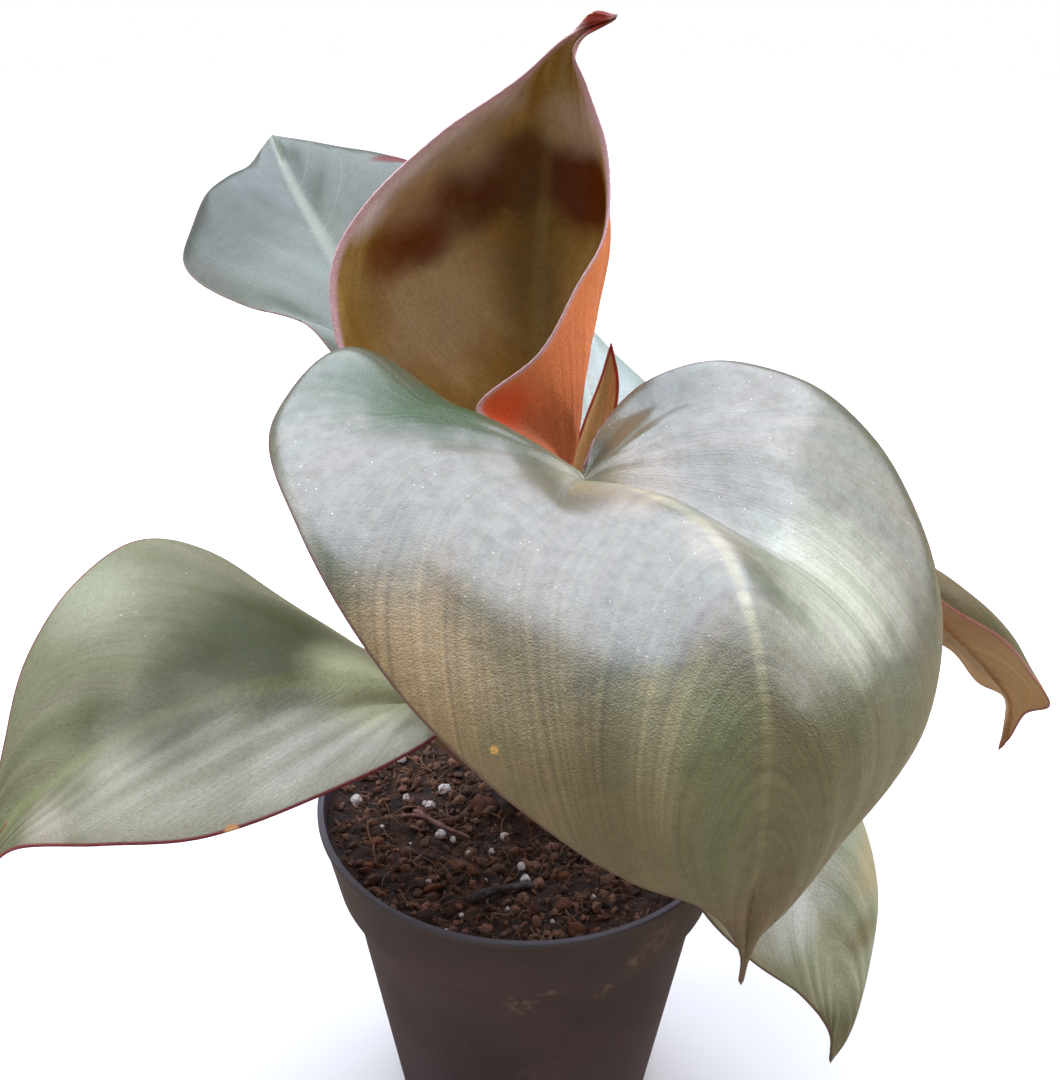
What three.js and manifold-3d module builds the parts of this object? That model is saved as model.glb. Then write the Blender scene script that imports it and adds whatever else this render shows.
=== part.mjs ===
// A potted heart-leaf philodendron: seven leaves on their stalks, the stem they grow from,
// the sheath of the newest leaf, the soil and the thin nursery pot.
// Millimetres, +Z up. The origin is the centre of the pot's underside, -Y is the front.

import * as THREE from 'three';
import { mergeVertices } from 'three/addons/utils/BufferGeometryUtils.js';
import Module from 'manifold-3d';

const wasm = await Module();
wasm.setup();

// Driving dimensions
const seatGap = 0.3; // between pieces that touch

const pot = {
  height: 88,
  baseRadius: 32.7,
  shoulderRadius: 43.3, // top of the tapered body
  collarRadius: 46, // foot of the rim band
  rimRadius: 50,
  collarHeight: 20,
  wall: 1,
  floor: 1.6,
  lip: 0.6, // rounding of the top edge
  segments: 40,
  holes: 8,
  holeRadius: 3.2,
  holeRing: 23,
};

const stem = {
  x: 2,
  y: 4,
  foot: 48, // height of the lowest tip, deep in the soil
  top: 104,
  footRadius: 2,
  radius: 7,
  topRadius: 5.4,
  sides: 20,
};

const soil = {
  level: 84.5,
  relief: 0.9,
  mound: 1.6, // rise against the stem
  rings: 10,
  segments: 40,
  lumps: 26, // grains of perlite and bark big enough to be solid
  lumpRadius: 3.2,
  lumpHeight: 1.1,
  seed: 7,
};

// Every leaf has points along its midrib from stalk to tip, and along each margin from the
// notch at the stalk to just before the tip. The bows are how far each half bulges off the
// straight line from midrib to margin, from the notch to the tip. Its stalk is rooted on the
// stem's side, at an azimuth in degrees and a height, or on the stem's top, and passes two points.
const leaves = [
  {
    name: 'front',
    rows: 29,
    columns: 6,
    fan: 0.5,
    stalkRadii: [3, 2.1],
    midrib: [[11, -18, 182], [22, -23, 183], [33, -33, 183], [39, -52, 178], [42, -66, 165],
      [43, -70, 144], [44, -62, 90]],
    left: [[9, -14, 182], [4, -8, 182], [-11, -5, 188], [-36, -8, 206], [-49, -26, 198],
      [-41, -50, 188], [-22, -70, 166], [2, -77, 144], [20, -76, 129], [33, -71, 119],
      [40, -66, 108], [43.4, -64, 99]],
    right: [[11, -13, 183], [15, -2, 187], [24, 4, 194], [40, 9, 197], [60, 8, 192],
      [76, 2, 178], [86, -16, 156], [80, -40, 137], [61, -58, 122], [51, -63, 111],
      [46, -64, 105], [44.6, -63.6, 99]],
    leftBow: [[0, 0, 2], [-8, -8, 16], [-12, -18, 18], [0, -18, 10], [0, -6, 4], [0, 0, 0]],
    rightBow: [[0, 0, -4], [4, -4, 8], [10, -8, 16], [10, -14, 8], [4, -8, 2], [0, 0, 0]],
    root: { azimuth: -72, height: 92 },
    stalk: [[7, -11, 115], [10, -17, 150]],
  },
  {
    name: 'young',
    rows: 25,
    columns: 6,
    fan: 0.35,
    stalkRadii: [2.8, 1.8],
    midrib: [[6, 18, 159], [3, 29, 179], [2, 35, 203], [3, 36, 230], [6, 31, 250], [11, 22, 264],
      [16, 16, 265]],
    left: [[4, 16, 160], [-17, 9, 171], [-32, 7, 184], [-39, 8, 200], [-40, 11, 215],
      [-33, 15, 227], [-18, 21, 240], [-3, 26, 250], [6, 26, 259]],
    right: [[7, 16, 162], [-2, 10, 175], [-12, 8, 186], [1, 9, 199], [8, 12, 212], [14, 17, 222],
      [14, 24, 237], [10, 27, 249], [8, 25, 257]],
    leftBow: [[0, 0, 0], [-12, 16, 0], [-20, 18, 0], [-16, 12, 0], [-6, 4, 0], [0, 0, 0]],
    rightBow: [[0, 0, 0], [14, 12, 0], [16, 12, 0], [14, 8, 0], [4, 4, 0], [0, 0, 0]],
    root: { top: [1, 3] },
    stalk: [[2, 7, 122], [5, 14, 142]],
  },
  {
    name: 'upper_left',
    rows: 21,
    columns: 5,
    fan: 0.35,
    stalkRadii: [2.5, 1.7],
    midrib: [[-34, 46, 178], [-41, 58, 190], [-50, 72, 199], [-61, 93, 208], [-69, 113, 217]],
    left: [[-36, 43, 175], [-39, 40, 174], [-47, 46, 183], [-54, 52, 188], [-69, 60, 189],
      [-83, 70, 192], [-87, 76, 195], [-86, 84, 201], [-83, 92, 208], [-78, 98, 211],
      [-74, 102, 212], [-71, 108, 215]],
    right: [[-32, 43, 176], [-26, 42, 175], [-16, 50, 182], [-13, 62, 196], [-17, 77, 209],
      [-29, 90, 216], [-38, 96, 217], [-50, 102, 217], [-61, 108, 217]],
    leftBow: [[0, 0, 0], [0, 0, 4], [0, 0, 8], [0, 0, 6], [0, 0, 0]],
    rightBow: [[0, 0, 0], [0, 0, 4], [0, 0, 8], [0, 0, 6], [0, 0, 0]],
    root: { azimuth: 130, height: 95 },
    stalk: [[-14, 25, 120], [-28, 46, 154]],
  },
  {
    name: 'left',
    rows: 21,
    columns: 5,
    fan: 0.4,
    stalkRadii: [2.5, 1.7],
    midrib: [[-22, -24, 132], [-32, -29, 140], [-47, -35, 144], [-64, -41, 143], [-82, -44, 135],
      [-101, -46, 121], [-120, -44, 97]],
    left: [[-19, -26, 132], [-15, -32, 134], [-19, -42, 136], [-39, -53, 131], [-62, -62, 127],
      [-82, -61, 124], [-102, -53, 116], [-112, -47, 105]],
    right: [[-20, -21, 131], [-16, -12, 128], [-25, 0, 127], [-39, 4, 125], [-54, 8, 134],
      [-73, 9, 150], [-86, 4, 155], [-98, -6, 150], [-106, -19, 140], [-109, -34, 126],
      [-113, -42, 110]],
    leftBow: [[0, 0, 0], [0, 0, 8], [0, 0, 10], [0, 0, 8], [0, 0, 2], [0, 0, 0]],
    rightBow: [[0, 0, 0], [0, 0, 2], [0, 0, 6], [0, 0, 8], [0, 0, 2], [0, 0, 0]],
    root: { azimuth: -140, height: 91 },
    stalk: [[-10, -10, 104], [-18, -20, 119]],
  },
  {
    name: 'lower_right',
    rows: 17,
    columns: 5,
    fan: 0.4,
    stalkRadii: [2.3, 1.6],
    midrib: [[44, -32, 121], [55, -38, 109], [64, -40, 85], [71, -40, 61], [72, -37, 39]],
    left: [[45, -29, 122], [49, -22, 123], [60, -16, 119], [73, -17, 104], [80, -25, 85],
      [79, -33, 63], [75, -37, 47]],
    right: [[42, -33, 123], [35, -38, 128], [31, -45, 121], [34, -50, 104], [47, -49, 85],
      [61, -45, 69], [70, -40, 52]],
    leftBow: [[0, 0, 0], [4, -4, 6], [6, -4, 6], [2, -2, 2], [0, 0, 0]],
    rightBow: [[0, 0, 0], [0, -6, 6], [0, -8, 6], [0, -2, 2], [0, 0, 0]],
    root: { azimuth: -32, height: 90 },
    stalk: [[20, -11, 101], [35, -25, 113]],
  },
  {
    name: 'right',
    rows: 21,
    columns: 5,
    fan: 0.4,
    stalkRadii: [2.5, 1.7],
    midrib: [[76, 24, 143], [91, 34, 128], [109, 45, 108], [126, 54, 88], [135, 58, 74],
      [134, 58, 59]],
    left: [[75, 20, 146], [69, 9, 158], [77, 3, 158], [93, 5, 141], [112, 14, 125],
      [126, 27, 107], [139, 42, 86], [137, 52, 76], [136, 57, 64]],
    right: [[75, 28, 139], [75, 40, 133], [85, 56, 114], [105, 68, 94], [122, 75, 81],
      [130, 73, 72], [136, 67, 71], [135, 60, 65]],
    leftBow: [[0, 0, 0], [8, -4, 8], [10, -6, 10], [4, 0, 4], [0, 0, 0]],
    rightBow: [[0, 0, 0], [4, 4, 6], [6, 4, 6], [2, 0, 2], [0, 0, 0]],
    root: { azimuth: 12, height: 93 },
    stalk: [[28, 13, 112], [56, 20, 132]],
  },
  {
    name: 'back',
    rows: 17,
    columns: 5,
    fan: 0.4,
    stalkRadii: [2.4, 1.6],
    midrib: [[17, 38, 161], [16, 54, 165], [13, 74, 170], [9, 94, 174], [5, 110, 176]],
    left: [[16, 37, 160], [12, 32, 160], [1, 38, 164], [-5, 54, 170], [-5, 72, 173],
      [-2, 90, 176], [2, 102, 176]],
    right: [[19, 37, 160], [24, 34, 159], [33, 42, 163], [34, 54, 165], [30, 66, 167],
      [22, 82, 169], [13, 97, 173]],
    leftBow: [[0, 0, 0], [0, 0, 6], [0, 0, 6], [0, 0, 0]],
    rightBow: [[0, 0, 0], [0, 0, 6], [0, 0, 6], [0, 0, 0]],
    root: { azimuth: 72, height: 96 },
    stalk: [[8, 21, 115], [13, 31, 140]],
  },
];

// The papery sheath that the newest leaf came out of, built like a narrow blade
const sheath = {
  rows: 13,
  columns: 4,
  fan: 0,
  midrib: [[3, 8.4, 104.7], [8, 18, 130], [13, 27, 160], [17, 30, 180], [18, 29, 193]],
  left: [[-1, 7.4, 104.7], [3, 15, 130], [7, 21, 155], [12, 25, 174], [16, 28, 186]],
  right: [[6, 6, 104.7], [13, 12, 130], [17, 20, 155], [19, 26, 174], [20, 28, 184]],
  leftBow: [[0, 0, 0], [-2, 4, 0], [-1, 3, 0], [0, 0, 0]],
  rightBow: [[0, 0, 0], [2, 4, 0], [1, 3, 0], [0, 0, 0]],
};

const bladeThickness = 0.7;
const stalkSides = 8;
const stalkSteps = 12;
const domeSteps = 3;

const materials = {
  pot: new THREE.MeshStandardMaterial({ color: 0x3a3638, roughness: 0.6, metalness: 0 }),
  soil: new THREE.MeshStandardMaterial({ color: 0x2e201a, roughness: 0.95, metalness: 0 }),
  stem: new THREE.MeshStandardMaterial({ color: 0x6b5a3c, roughness: 0.7, metalness: 0 }),
  stalk: new THREE.MeshStandardMaterial({ color: 0xa07a80, roughness: 0.5, metalness: 0 }),
  sheath: new THREE.MeshStandardMaterial({ color: 0x93491c, roughness: 0.5, metalness: 0 }),
  front: new THREE.MeshStandardMaterial({ color: 0x8f9684, roughness: 0.4, metalness: 0 }),
  young: new THREE.MeshStandardMaterial({ color: 0x6f5a3c, roughness: 0.45, metalness: 0 }),
  upper_left: new THREE.MeshStandardMaterial({ color: 0xa3aba0, roughness: 0.45, metalness: 0 }),
  left: new THREE.MeshStandardMaterial({ color: 0x727a66, roughness: 0.35, metalness: 0 }),
  lower_right: new THREE.MeshStandardMaterial({ color: 0x86927a, roughness: 0.35, metalness: 0 }),
  right: new THREE.MeshStandardMaterial({ color: 0x7d553f, roughness: 0.45, metalness: 0 }),
  back: new THREE.MeshStandardMaterial({ color: 0xb9c6c0, roughness: 0.5, metalness: 0 }),
};

// Helpers for closed meshes

// An indexed geometry with the given positions and triangles.
function solidOf(vertices, triangles) {
  const geometry = new THREE.BufferGeometry();
  geometry.setAttribute('position',
    new THREE.Float32BufferAttribute(vertices.flatMap((v) => [v.x, v.y, v.z]), 3));
  geometry.setIndex(triangles.flat());
  return geometry;
}

// Shared vertices are merged and triangles without area go, so that the mesh is closed.
function weld(geometry) {
  geometry.deleteAttribute('normal');
  geometry.deleteAttribute('uv');
  const merged = mergeVertices(geometry, 1e-4);
  const index = merged.index.array;
  const kept = [];
  for (let i = 0; i < index.length; i += 3) {
    const [a, b, c] = [index[i], index[i + 1], index[i + 2]];
    if (a !== b && b !== c && c !== a) kept.push(a, b, c);
  }
  merged.setIndex(kept);
  return merged;
}

function toManifold(geometry) {
  return new wasm.Manifold(new wasm.Mesh({
    numProp: 3,
    vertProperties: new Float32Array(geometry.attributes.position.array),
    triVerts: new Uint32Array(geometry.index.array),
  }));
}

function fromManifold(solid) {
  const { vertProperties, triVerts } = solid.getMesh();
  const geometry = new THREE.BufferGeometry();
  geometry.setAttribute('position', new THREE.Float32BufferAttribute(vertProperties, 3));
  geometry.setIndex([...triVerts]);
  return geometry;
}

// A profile of [radius, height] pairs turned about the Z axis.
function turned(profile, segments) {
  const points = profile.map(([r, z]) => new THREE.Vector2(r, z));
  return weld(new THREE.LatheGeometry(points, segments).rotateX(Math.PI / 2));
}

// A smooth curve through points given as [x, y, z].
function curveThrough(points, kind = 'centripetal') {
  const curve = new THREE.CatmullRomCurve3(points.map((p) => new THREE.Vector3(...p)), false, kind);
  curve.arcLengthDivisions = 400;
  return curve;
}

// Repeatable random numbers from 0 to 1.
function randomFrom(seed) {
  let state = seed;
  return () => {
    state = (state * 16807) % 2147483647;
    return state / 2147483647;
  };
}

// Leaves

// One half of a blade as rows of points from the midrib to the margin. Row by row the margin
// point runs from the notch to the tip. The midrib point waits at the stalk for the share
// called fan and then follows, so the first rows spread like the veins of a heart-shaped leaf.
function halfBlade(leaf, margin, bows) {
  const tip = leaf.midrib[leaf.midrib.length - 1];
  const edge = curveThrough([...margin, tip]);
  const rib = curveThrough(leaf.midrib);
  const bow = curveThrough(bows, 'catmullrom');
  const rows = [];
  for (let i = 0; i < leaf.rows; i += 1) {
    const along = i / (leaf.rows - 1);
    const ribShare = Math.max(0, (along - leaf.fan) / (1 - leaf.fan)) ** 1.1;
    const start = rib.getPointAt(Math.min(1, ribShare));
    const end = edge.getPointAt(along);
    const middle = start.clone().lerp(end, 0.5).add(bow.getPoint(along));
    const row = new THREE.QuadraticBezierCurve3(start, middle, end);
    rows.push(Array.from({ length: leaf.columns }, (_, j) => row.getPoint(j / (leaf.columns - 1))));
  }
  return rows;
}

// Both halves as one sheet that shares the midrib. Points that fall together are one vertex.
function bladeSheet(leaf) {
  const vertices = [];
  const triangles = [];
  const known = new Map();
  const vertexAt = (point) => {
    const key = point.toArray().map((value) => Math.round(value * 1000)).join();
    if (!known.has(key)) {
      known.set(key, vertices.length);
      vertices.push(point);
    }
    return known.get(key);
  };
  const addTriangle = (a, b, c) => {
    if (a !== b && b !== c && c !== a) triangles.push([a, b, c]);
  };
  const halves = [
    { rows: halfBlade(leaf, leaf.left, leaf.leftBow), flip: false },
    { rows: halfBlade(leaf, leaf.right, leaf.rightBow), flip: true },
  ];
  for (const { rows, flip } of halves) {
    const index = rows.map((row) => row.map(vertexAt));
    for (let i = 0; i < leaf.rows - 1; i += 1) {
      for (let j = 0; j < leaf.columns - 1; j += 1) {
        const [a, b, c, d] = [index[i][j], index[i][j + 1], index[i + 1][j + 1], index[i + 1][j]];
        if (flip) {
          addTriangle(a, b, c);
          addTriangle(a, c, d);
        } else {
          addTriangle(a, c, b);
          addTriangle(a, d, c);
        }
      }
    }
  }
  return { vertices, triangles };
}

// A sheet made solid: the same triangles above and below it, and a rim round the open edge.
function thicken({ vertices, triangles }, thickness) {
  const normals = vertices.map(() => new THREE.Vector3());
  for (const [a, b, c] of triangles) {
    const across = vertices[b].clone().sub(vertices[a]);
    const normal = across.cross(vertices[c].clone().sub(vertices[a]));
    for (const corner of [a, b, c]) normals[corner].add(normal);
  }
  const offset = (sign) => vertices.map((v, i) => v.clone()
    .addScaledVector(normals[i].clone().normalize(), sign * thickness / 2));
  const count = vertices.length;
  const faces = [];
  const edges = new Set(triangles.flatMap(([a, b, c]) => [`${a},${b}`, `${b},${c}`, `${c},${a}`]));
  for (const [a, b, c] of triangles) {
    faces.push([a, b, c], [a + count, c + count, b + count]);
    for (const [from, to] of [[a, b], [b, c], [c, a]]) {
      if (edges.has(`${to},${from}`)) continue;
      faces.push([from, from + count, to + count], [from, to + count, to]);
    }
  }
  return solidOf([...offset(1), ...offset(-1)], faces);
}

// Where a stalk's round foot lies against the stem: on its side or on its top.
function rootPoint({ azimuth, height, top }, radius) {
  if (top) return [...top, stem.top + seatGap + radius];
  const angle = THREE.MathUtils.degToRad(azimuth);
  const reach = stemRadius(height) + seatGap + radius;
  return [stem.x + reach * Math.cos(angle), stem.y + reach * Math.sin(angle), height];
}

// A round stalk from the stem to the underside of its blade, with a round foot and a long
// rounded end that stops just short of the blade.
function stalkSolid({ root, stalk, midrib, stalkRadii: [footRadius, endRadius] }) {
  const curve = curveThrough([rootPoint(root, footRadius), ...stalk, midrib[0]]);
  const length = curve.getLength();
  const end = length - seatGap - bladeThickness;
  const endLength = 2 * endRadius;
  const stations = [];
  for (let i = 1; i <= domeSteps; i += 1) {
    const angle = (i / domeSteps) * Math.PI / 2;
    stations.push([-footRadius * Math.cos(angle), Math.sin(angle)]);
  }
  for (let i = 1; i < stalkSteps; i += 1) {
    stations.push([(end - endLength) * (i / stalkSteps), 1]);
  }
  for (let i = domeSteps; i >= 1; i -= 1) {
    const angle = (i / domeSteps) * Math.PI / 2;
    stations.push([end - endLength * (1 - Math.cos(angle)), Math.sin(angle)]);
  }
  const alongCurve = (distance) => {
    const share = Math.max(0, distance / length);
    const tangent = curve.getTangentAt(share);
    const point = curve.getPointAt(share);
    return { tangent, point: point.addScaledVector(tangent, Math.min(0, distance)) };
  };
  const vertices = [alongCurve(-footRadius).point];
  const triangles = [];
  const side = new THREE.Vector3(1, 0, 0);
  for (const [distance, scale] of stations) {
    const { tangent, point } = alongCurve(distance);
    const share = Math.max(0, distance / length);
    const radius = scale * (endRadius + (footRadius - endRadius) * (1 - share) ** 1.5);
    side.addScaledVector(tangent, -side.dot(tangent)).normalize();
    const other = tangent.clone().cross(side);
    for (let k = 0; k < stalkSides; k += 1) {
      const angle = (k / stalkSides) * Math.PI * 2;
      vertices.push(point.clone().addScaledVector(side, Math.cos(angle) * radius)
        .addScaledVector(other, Math.sin(angle) * radius));
    }
  }
  vertices.push(alongCurve(end).point);
  const last = vertices.length - 1;
  for (let k = 0; k < stalkSides; k += 1) {
    const next = (k + 1) % stalkSides;
    triangles.push([0, 1 + next, 1 + k]);
    for (let ring = 0; ring < stations.length - 1; ring += 1) {
      const a = 1 + ring * stalkSides + k;
      const b = 1 + ring * stalkSides + next;
      triangles.push([a, b, b + stalkSides], [a, b + stalkSides, a + stalkSides]);
    }
    triangles.push([last, last - stalkSides + k, last - stalkSides + next]);
  }
  return solidOf(vertices, triangles);
}

// Pot, stem and soil

function potSolid() {
  const { height, wall, floor, lip } = pot;
  const collarFoot = height - pot.collarHeight;
  const profile = [
    [0, 0],
    [pot.baseRadius - 1, 0],
    [pot.baseRadius, 1],
    [pot.shoulderRadius, collarFoot],
    [pot.collarRadius, collarFoot + 0.6],
    [pot.rimRadius - lip, height - 3 * lip],
    [pot.rimRadius, height - 2 * lip],
    [pot.rimRadius, height - lip],
    [pot.rimRadius - lip, height],
    [pot.rimRadius - wall - lip, height],
    [pot.rimRadius - wall - lip, height - lip],
    [pot.collarRadius - wall, collarFoot + 1.6],
    [pot.shoulderRadius - wall, collarFoot + 1],
    [pot.baseRadius - wall, floor],
    [0, floor],
  ];
  let solid = toManifold(turned(profile, pot.segments));
  for (let i = 0; i < pot.holes; i += 1) {
    const angle = (i / pot.holes) * Math.PI * 2;
    const cutter = weld(new THREE.CylinderGeometry(pot.holeRadius, pot.holeRadius, 10, 12)
      .rotateX(Math.PI / 2)
      .translate(pot.holeRing * Math.cos(angle), pot.holeRing * Math.sin(angle), 0));
    solid = solid.subtract(toManifold(cutter));
  }
  return fromManifold(solid);
}

// The stem's radius at a height, from its buried tip to the cut-like flat top.
function stemRadius(z) {
  const buried = Math.max(0, (z - stem.foot) / (soil.level - stem.foot));
  if (buried < 1) return stem.footRadius + (stem.radius - stem.footRadius) * buried ** 0.7;
  const share = (z - soil.level) / (stem.top - soil.level);
  return stem.radius + (stem.topRadius - stem.radius) * share;
}

function stemSolid() {
  const heights = [stem.foot, 54, 62, 72, 79, soil.level, 90, 97, stem.top - 1];
  const profile = [[0, stem.foot], ...heights.map((z) => [stemRadius(z), z]),
    [stem.topRadius - 1, stem.top], [0, stem.top]];
  return turned(profile, stem.sides).translate(stem.x, stem.y, 0);
}

// Height of the soil's surface: slow waves, and seeded grains that stand out as round lumps.
const random = randomFrom(soil.seed);
const lumps = Array.from({ length: soil.lumps }, () => {
  const angle = random() * Math.PI * 2;
  const radius = 12 + 32 * Math.sqrt(random());
  return { x: radius * Math.cos(angle), y: radius * Math.sin(angle), size: 0.6 + 0.4 * random() };
});

function soilHeight(x, y) {
  const waves = Math.sin(x / 5 + 1) * Math.cos(y / 6) + 0.6 * Math.sin(x / 2.7 - y / 3.9);
  const toStem = Math.hypot(x - stem.x, y - stem.y);
  const mound = soil.mound * Math.exp(-(((toStem - stem.radius) / 8) ** 2));
  const grains = lumps.map((lump) => {
    const away = Math.hypot(x - lump.x, y - lump.y) / (soil.lumpRadius * lump.size);
    return away < 1 ? soil.lumpHeight * lump.size * Math.sqrt(1 - away * away) : 0;
  });
  return soil.level + soil.relief * waves * 0.5 + mound + Math.max(0, ...grains);
}

// Rings from the foot of the stem's hole, up its wall, across the surface, down the pot's wall.
function soilSolid() {
  const ringRadii = [];
  const holeHeights = [stem.foot - 1, 54, 62, 72, 79];
  for (const z of holeHeights) ringRadii.push({ radius: stemRadius(z) + 0.5, z, hole: 1 });
  const outer = pot.rimRadius - pot.wall - 1.3;
  const inner = stemRadius(soil.level) + 0.5;
  for (let i = 0; i < soil.rings; i += 1) {
    const share = i / (soil.rings - 1);
    ringRadii.push({ radius: inner + (outer - inner) * share, hole: 1 - share });
  }
  const collarFoot = pot.height - pot.collarHeight;
  const clear = pot.wall + seatGap + 0.1;
  ringRadii.push({ radius: pot.collarRadius - clear, z: collarFoot + 2, hole: 0 });
  ringRadii.push({ radius: pot.shoulderRadius - clear, z: collarFoot + 1, hole: 0 });
  ringRadii.push({ radius: pot.baseRadius - clear, z: pot.floor + seatGap, hole: 0 });

  const vertices = [new THREE.Vector3(stem.x, stem.y, stem.foot - 1)];
  for (const { radius, z, hole } of ringRadii) {
    for (let k = 0; k < soil.segments; k += 1) {
      const angle = (k / soil.segments) * Math.PI * 2;
      const x = stem.x * hole + radius * Math.cos(angle);
      const y = stem.y * hole + radius * Math.sin(angle);
      vertices.push(new THREE.Vector3(x, y, z ?? soilHeight(x, y)));
    }
  }
  vertices.push(new THREE.Vector3(0, 0, pot.floor + seatGap));
  const last = vertices.length - 1;
  const triangles = [];
  for (let k = 0; k < soil.segments; k += 1) {
    const next = (k + 1) % soil.segments;
    triangles.push([0, 1 + k, 1 + next]);
    for (let ring = 0; ring < ringRadii.length - 1; ring += 1) {
      const a = 1 + ring * soil.segments + k;
      const b = 1 + ring * soil.segments + next;
      triangles.push([a, a + soil.segments, b + soil.segments], [a, b + soil.segments, b]);
    }
    triangles.push([last, last - soil.segments + next, last - soil.segments + k]);
  }
  return solidOf(vertices, triangles);
}

const plant = new THREE.Group();

function place(name, geometry, material) {
  geometry.computeVertexNormals();
  const mesh = new THREE.Mesh(geometry, material);
  mesh.name = name;
  plant.add(mesh);
}

place('pot', potSolid(), materials.pot);
place('soil', soilSolid(), materials.soil);
place('stem', stemSolid(), materials.stem);
for (const leaf of leaves) {
  place(`blade_${leaf.name}`, thicken(bladeSheet(leaf), bladeThickness), materials[leaf.name]);
  place(`stalk_${leaf.name}`, stalkSolid(leaf), materials.stalk);
}
place('sheath', thicken(bladeSheet(sheath), bladeThickness), materials.sheath);

export default plant;
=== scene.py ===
import math

import bmesh
import bpy
import numpy as np
from mathutils import Matrix, Vector


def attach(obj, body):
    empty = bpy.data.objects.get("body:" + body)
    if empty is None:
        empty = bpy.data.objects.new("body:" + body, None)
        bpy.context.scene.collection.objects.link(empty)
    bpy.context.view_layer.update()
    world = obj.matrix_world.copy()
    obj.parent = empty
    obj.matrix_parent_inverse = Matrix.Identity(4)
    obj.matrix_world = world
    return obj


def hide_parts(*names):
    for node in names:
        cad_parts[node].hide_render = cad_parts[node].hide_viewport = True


# A potted red heart philodendron: seven leaves on their stalks, the stem, the newest leaf's
# sheath, the soil and the nursery pot. Shapes are worked out in millimetres and become metres
# when a mesh is made. +Z is up, -Y is the front, the origin is the centre of the pot's underside.

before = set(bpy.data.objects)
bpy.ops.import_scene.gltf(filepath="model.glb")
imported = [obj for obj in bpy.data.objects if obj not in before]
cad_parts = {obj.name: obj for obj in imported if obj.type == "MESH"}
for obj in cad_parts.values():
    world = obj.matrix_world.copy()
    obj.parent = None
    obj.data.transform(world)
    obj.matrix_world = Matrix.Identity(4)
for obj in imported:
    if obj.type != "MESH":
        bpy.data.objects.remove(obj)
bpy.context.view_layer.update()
mm = 0.001
print("frame loaded,", len(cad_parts), "nodes")


# Camera

photoView = {
    "lens": 50,
    "sensor": 36,
    "place": (0.00026, -0.2848, 0.3182),
    "pitch": 60.7,  # degrees from looking straight down
    "roll": 0.56,
}


def addObject(name, data):
    thing = bpy.data.objects.new(name, data)
    bpy.context.collection.objects.link(thing)
    return thing


def makeCamera(view):
    data = bpy.data.cameras.new("photoCamera")
    data.lens = view["lens"]
    data.sensor_width = view["sensor"]
    data.clip_start = 0.01
    camera = addObject("photoCamera", data)
    camera.matrix_world = (
        Matrix.Translation(view["place"])
        @ Matrix.Rotation(math.radians(view["pitch"]), 4, "X")
        @ Matrix.Rotation(math.radians(view["roll"]), 4, "Z")
    )
    bpy.context.scene.camera = camera


makeCamera(photoView)
print("camera set")


# Small tools for curves, noise and meshes

def splineAt(points, shares, power=0.5):
    # Catmull-Rom: a cubic between each pair of points, with slopes from the neighbours and
    # mirrored ends. Power 0.5 spaces the knots by the root of the distance, power 0 evenly.
    p = np.asarray(points, float)
    count = len(p) - 1
    p = np.vstack([2 * p[0] - p[1], p, 2 * p[-1] - p[-2]])
    place = np.clip(shares, 0, 1) * count
    i = np.minimum(place.astype(int), count - 1)
    w = (place - i)[:, None]
    a, b, c, d = p[i], p[i + 1], p[i + 2], p[i + 3]

    def knot(start, end):
        gap = np.linalg.norm(end - start, axis=1, keepdims=True)
        return np.maximum(gap, 1e-9) ** power

    ab, bc, cd = knot(a, b), knot(b, c), knot(c, d)
    slopeIn = ((b - a) / ab - (c - a) / (ab + bc) + (c - b) / bc) * bc
    slopeOut = ((c - b) / bc - (d - b) / (bc + cd) + (d - c) / cd) * bc
    return (b + slopeIn * w + (3 * (c - b) - 2 * slopeIn - slopeOut) * w**2
            + (2 * (b - c) + slopeIn + slopeOut) * w**3)


def evenAt(points, shares):
    # The same curve read by length: the parameter is looked up in its running length.
    fine = np.linspace(0, 1, 3001)
    track = splineAt(points, fine)
    length = np.concatenate([[0], np.cumsum(np.linalg.norm(np.diff(track, axis=0), axis=1))])
    return splineAt(points, np.interp(np.clip(shares, 0, 1) * length[-1], length, fine))


def unit(vectors):
    return vectors / np.maximum(np.linalg.norm(vectors, axis=-1, keepdims=True), 1e-12)


def fullTurn(count):
    return np.linspace(0, 2 * np.pi, count, endpoint=False)


def ease(value, start, end):
    # Smooth step from 0 at start to 1 at end.
    x = np.clip((value - start) / (end - start), 0, 1)
    return x * x * (3 - 2 * x)


def bell(value, centre, width):
    # exp(-(distance / width)^2)
    return np.exp(-(((value - centre) / width) ** 2))


def latticeNoise(points, seed):
    # Random values at the whole numbers, blended smoothly between them, from -1 to 1.
    cell = np.floor(points).astype(np.int64)
    part = points - cell
    part = part * part * (3 - 2 * part)
    total = 0.0
    for corner in range(8):
        step = np.array([corner & 1, corner >> 1 & 1, corner >> 2 & 1])
        at = cell + step
        mix = at[..., 0] * 73856093 ^ at[..., 1] * 19349663 ^ at[..., 2] * 83492791 ^ seed * 2654435
        mix = (mix ^ (mix >> 13)) * 1274126177
        mix = (mix ^ (mix >> 16)) & 0xFFFFFF
        weight = np.prod(np.where(step == 1, part, 1 - part), axis=-1)
        total = total + weight * (mix / 0x7FFFFF - 1)
    return total


def roughNoise(points, size, octaves, seed):
    # Noise added up at halved sizes and halved heights.
    total = 0.0
    for octave in range(octaves):
        total = total + latticeNoise(points * 2**octave / size, seed + octave) / 2**octave
    return total


def pointNormals(points, faces):
    # Each point's normal is the sum of its faces' area normals.
    corners = points[faces]
    across = np.cross(corners[:, 1] - corners[:, 0], corners[:, 2] - corners[:, 0])
    normals = np.zeros_like(points)
    for k in range(3):
        np.add.at(normals, faces[:, k], across)
    return unit(normals)


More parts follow.
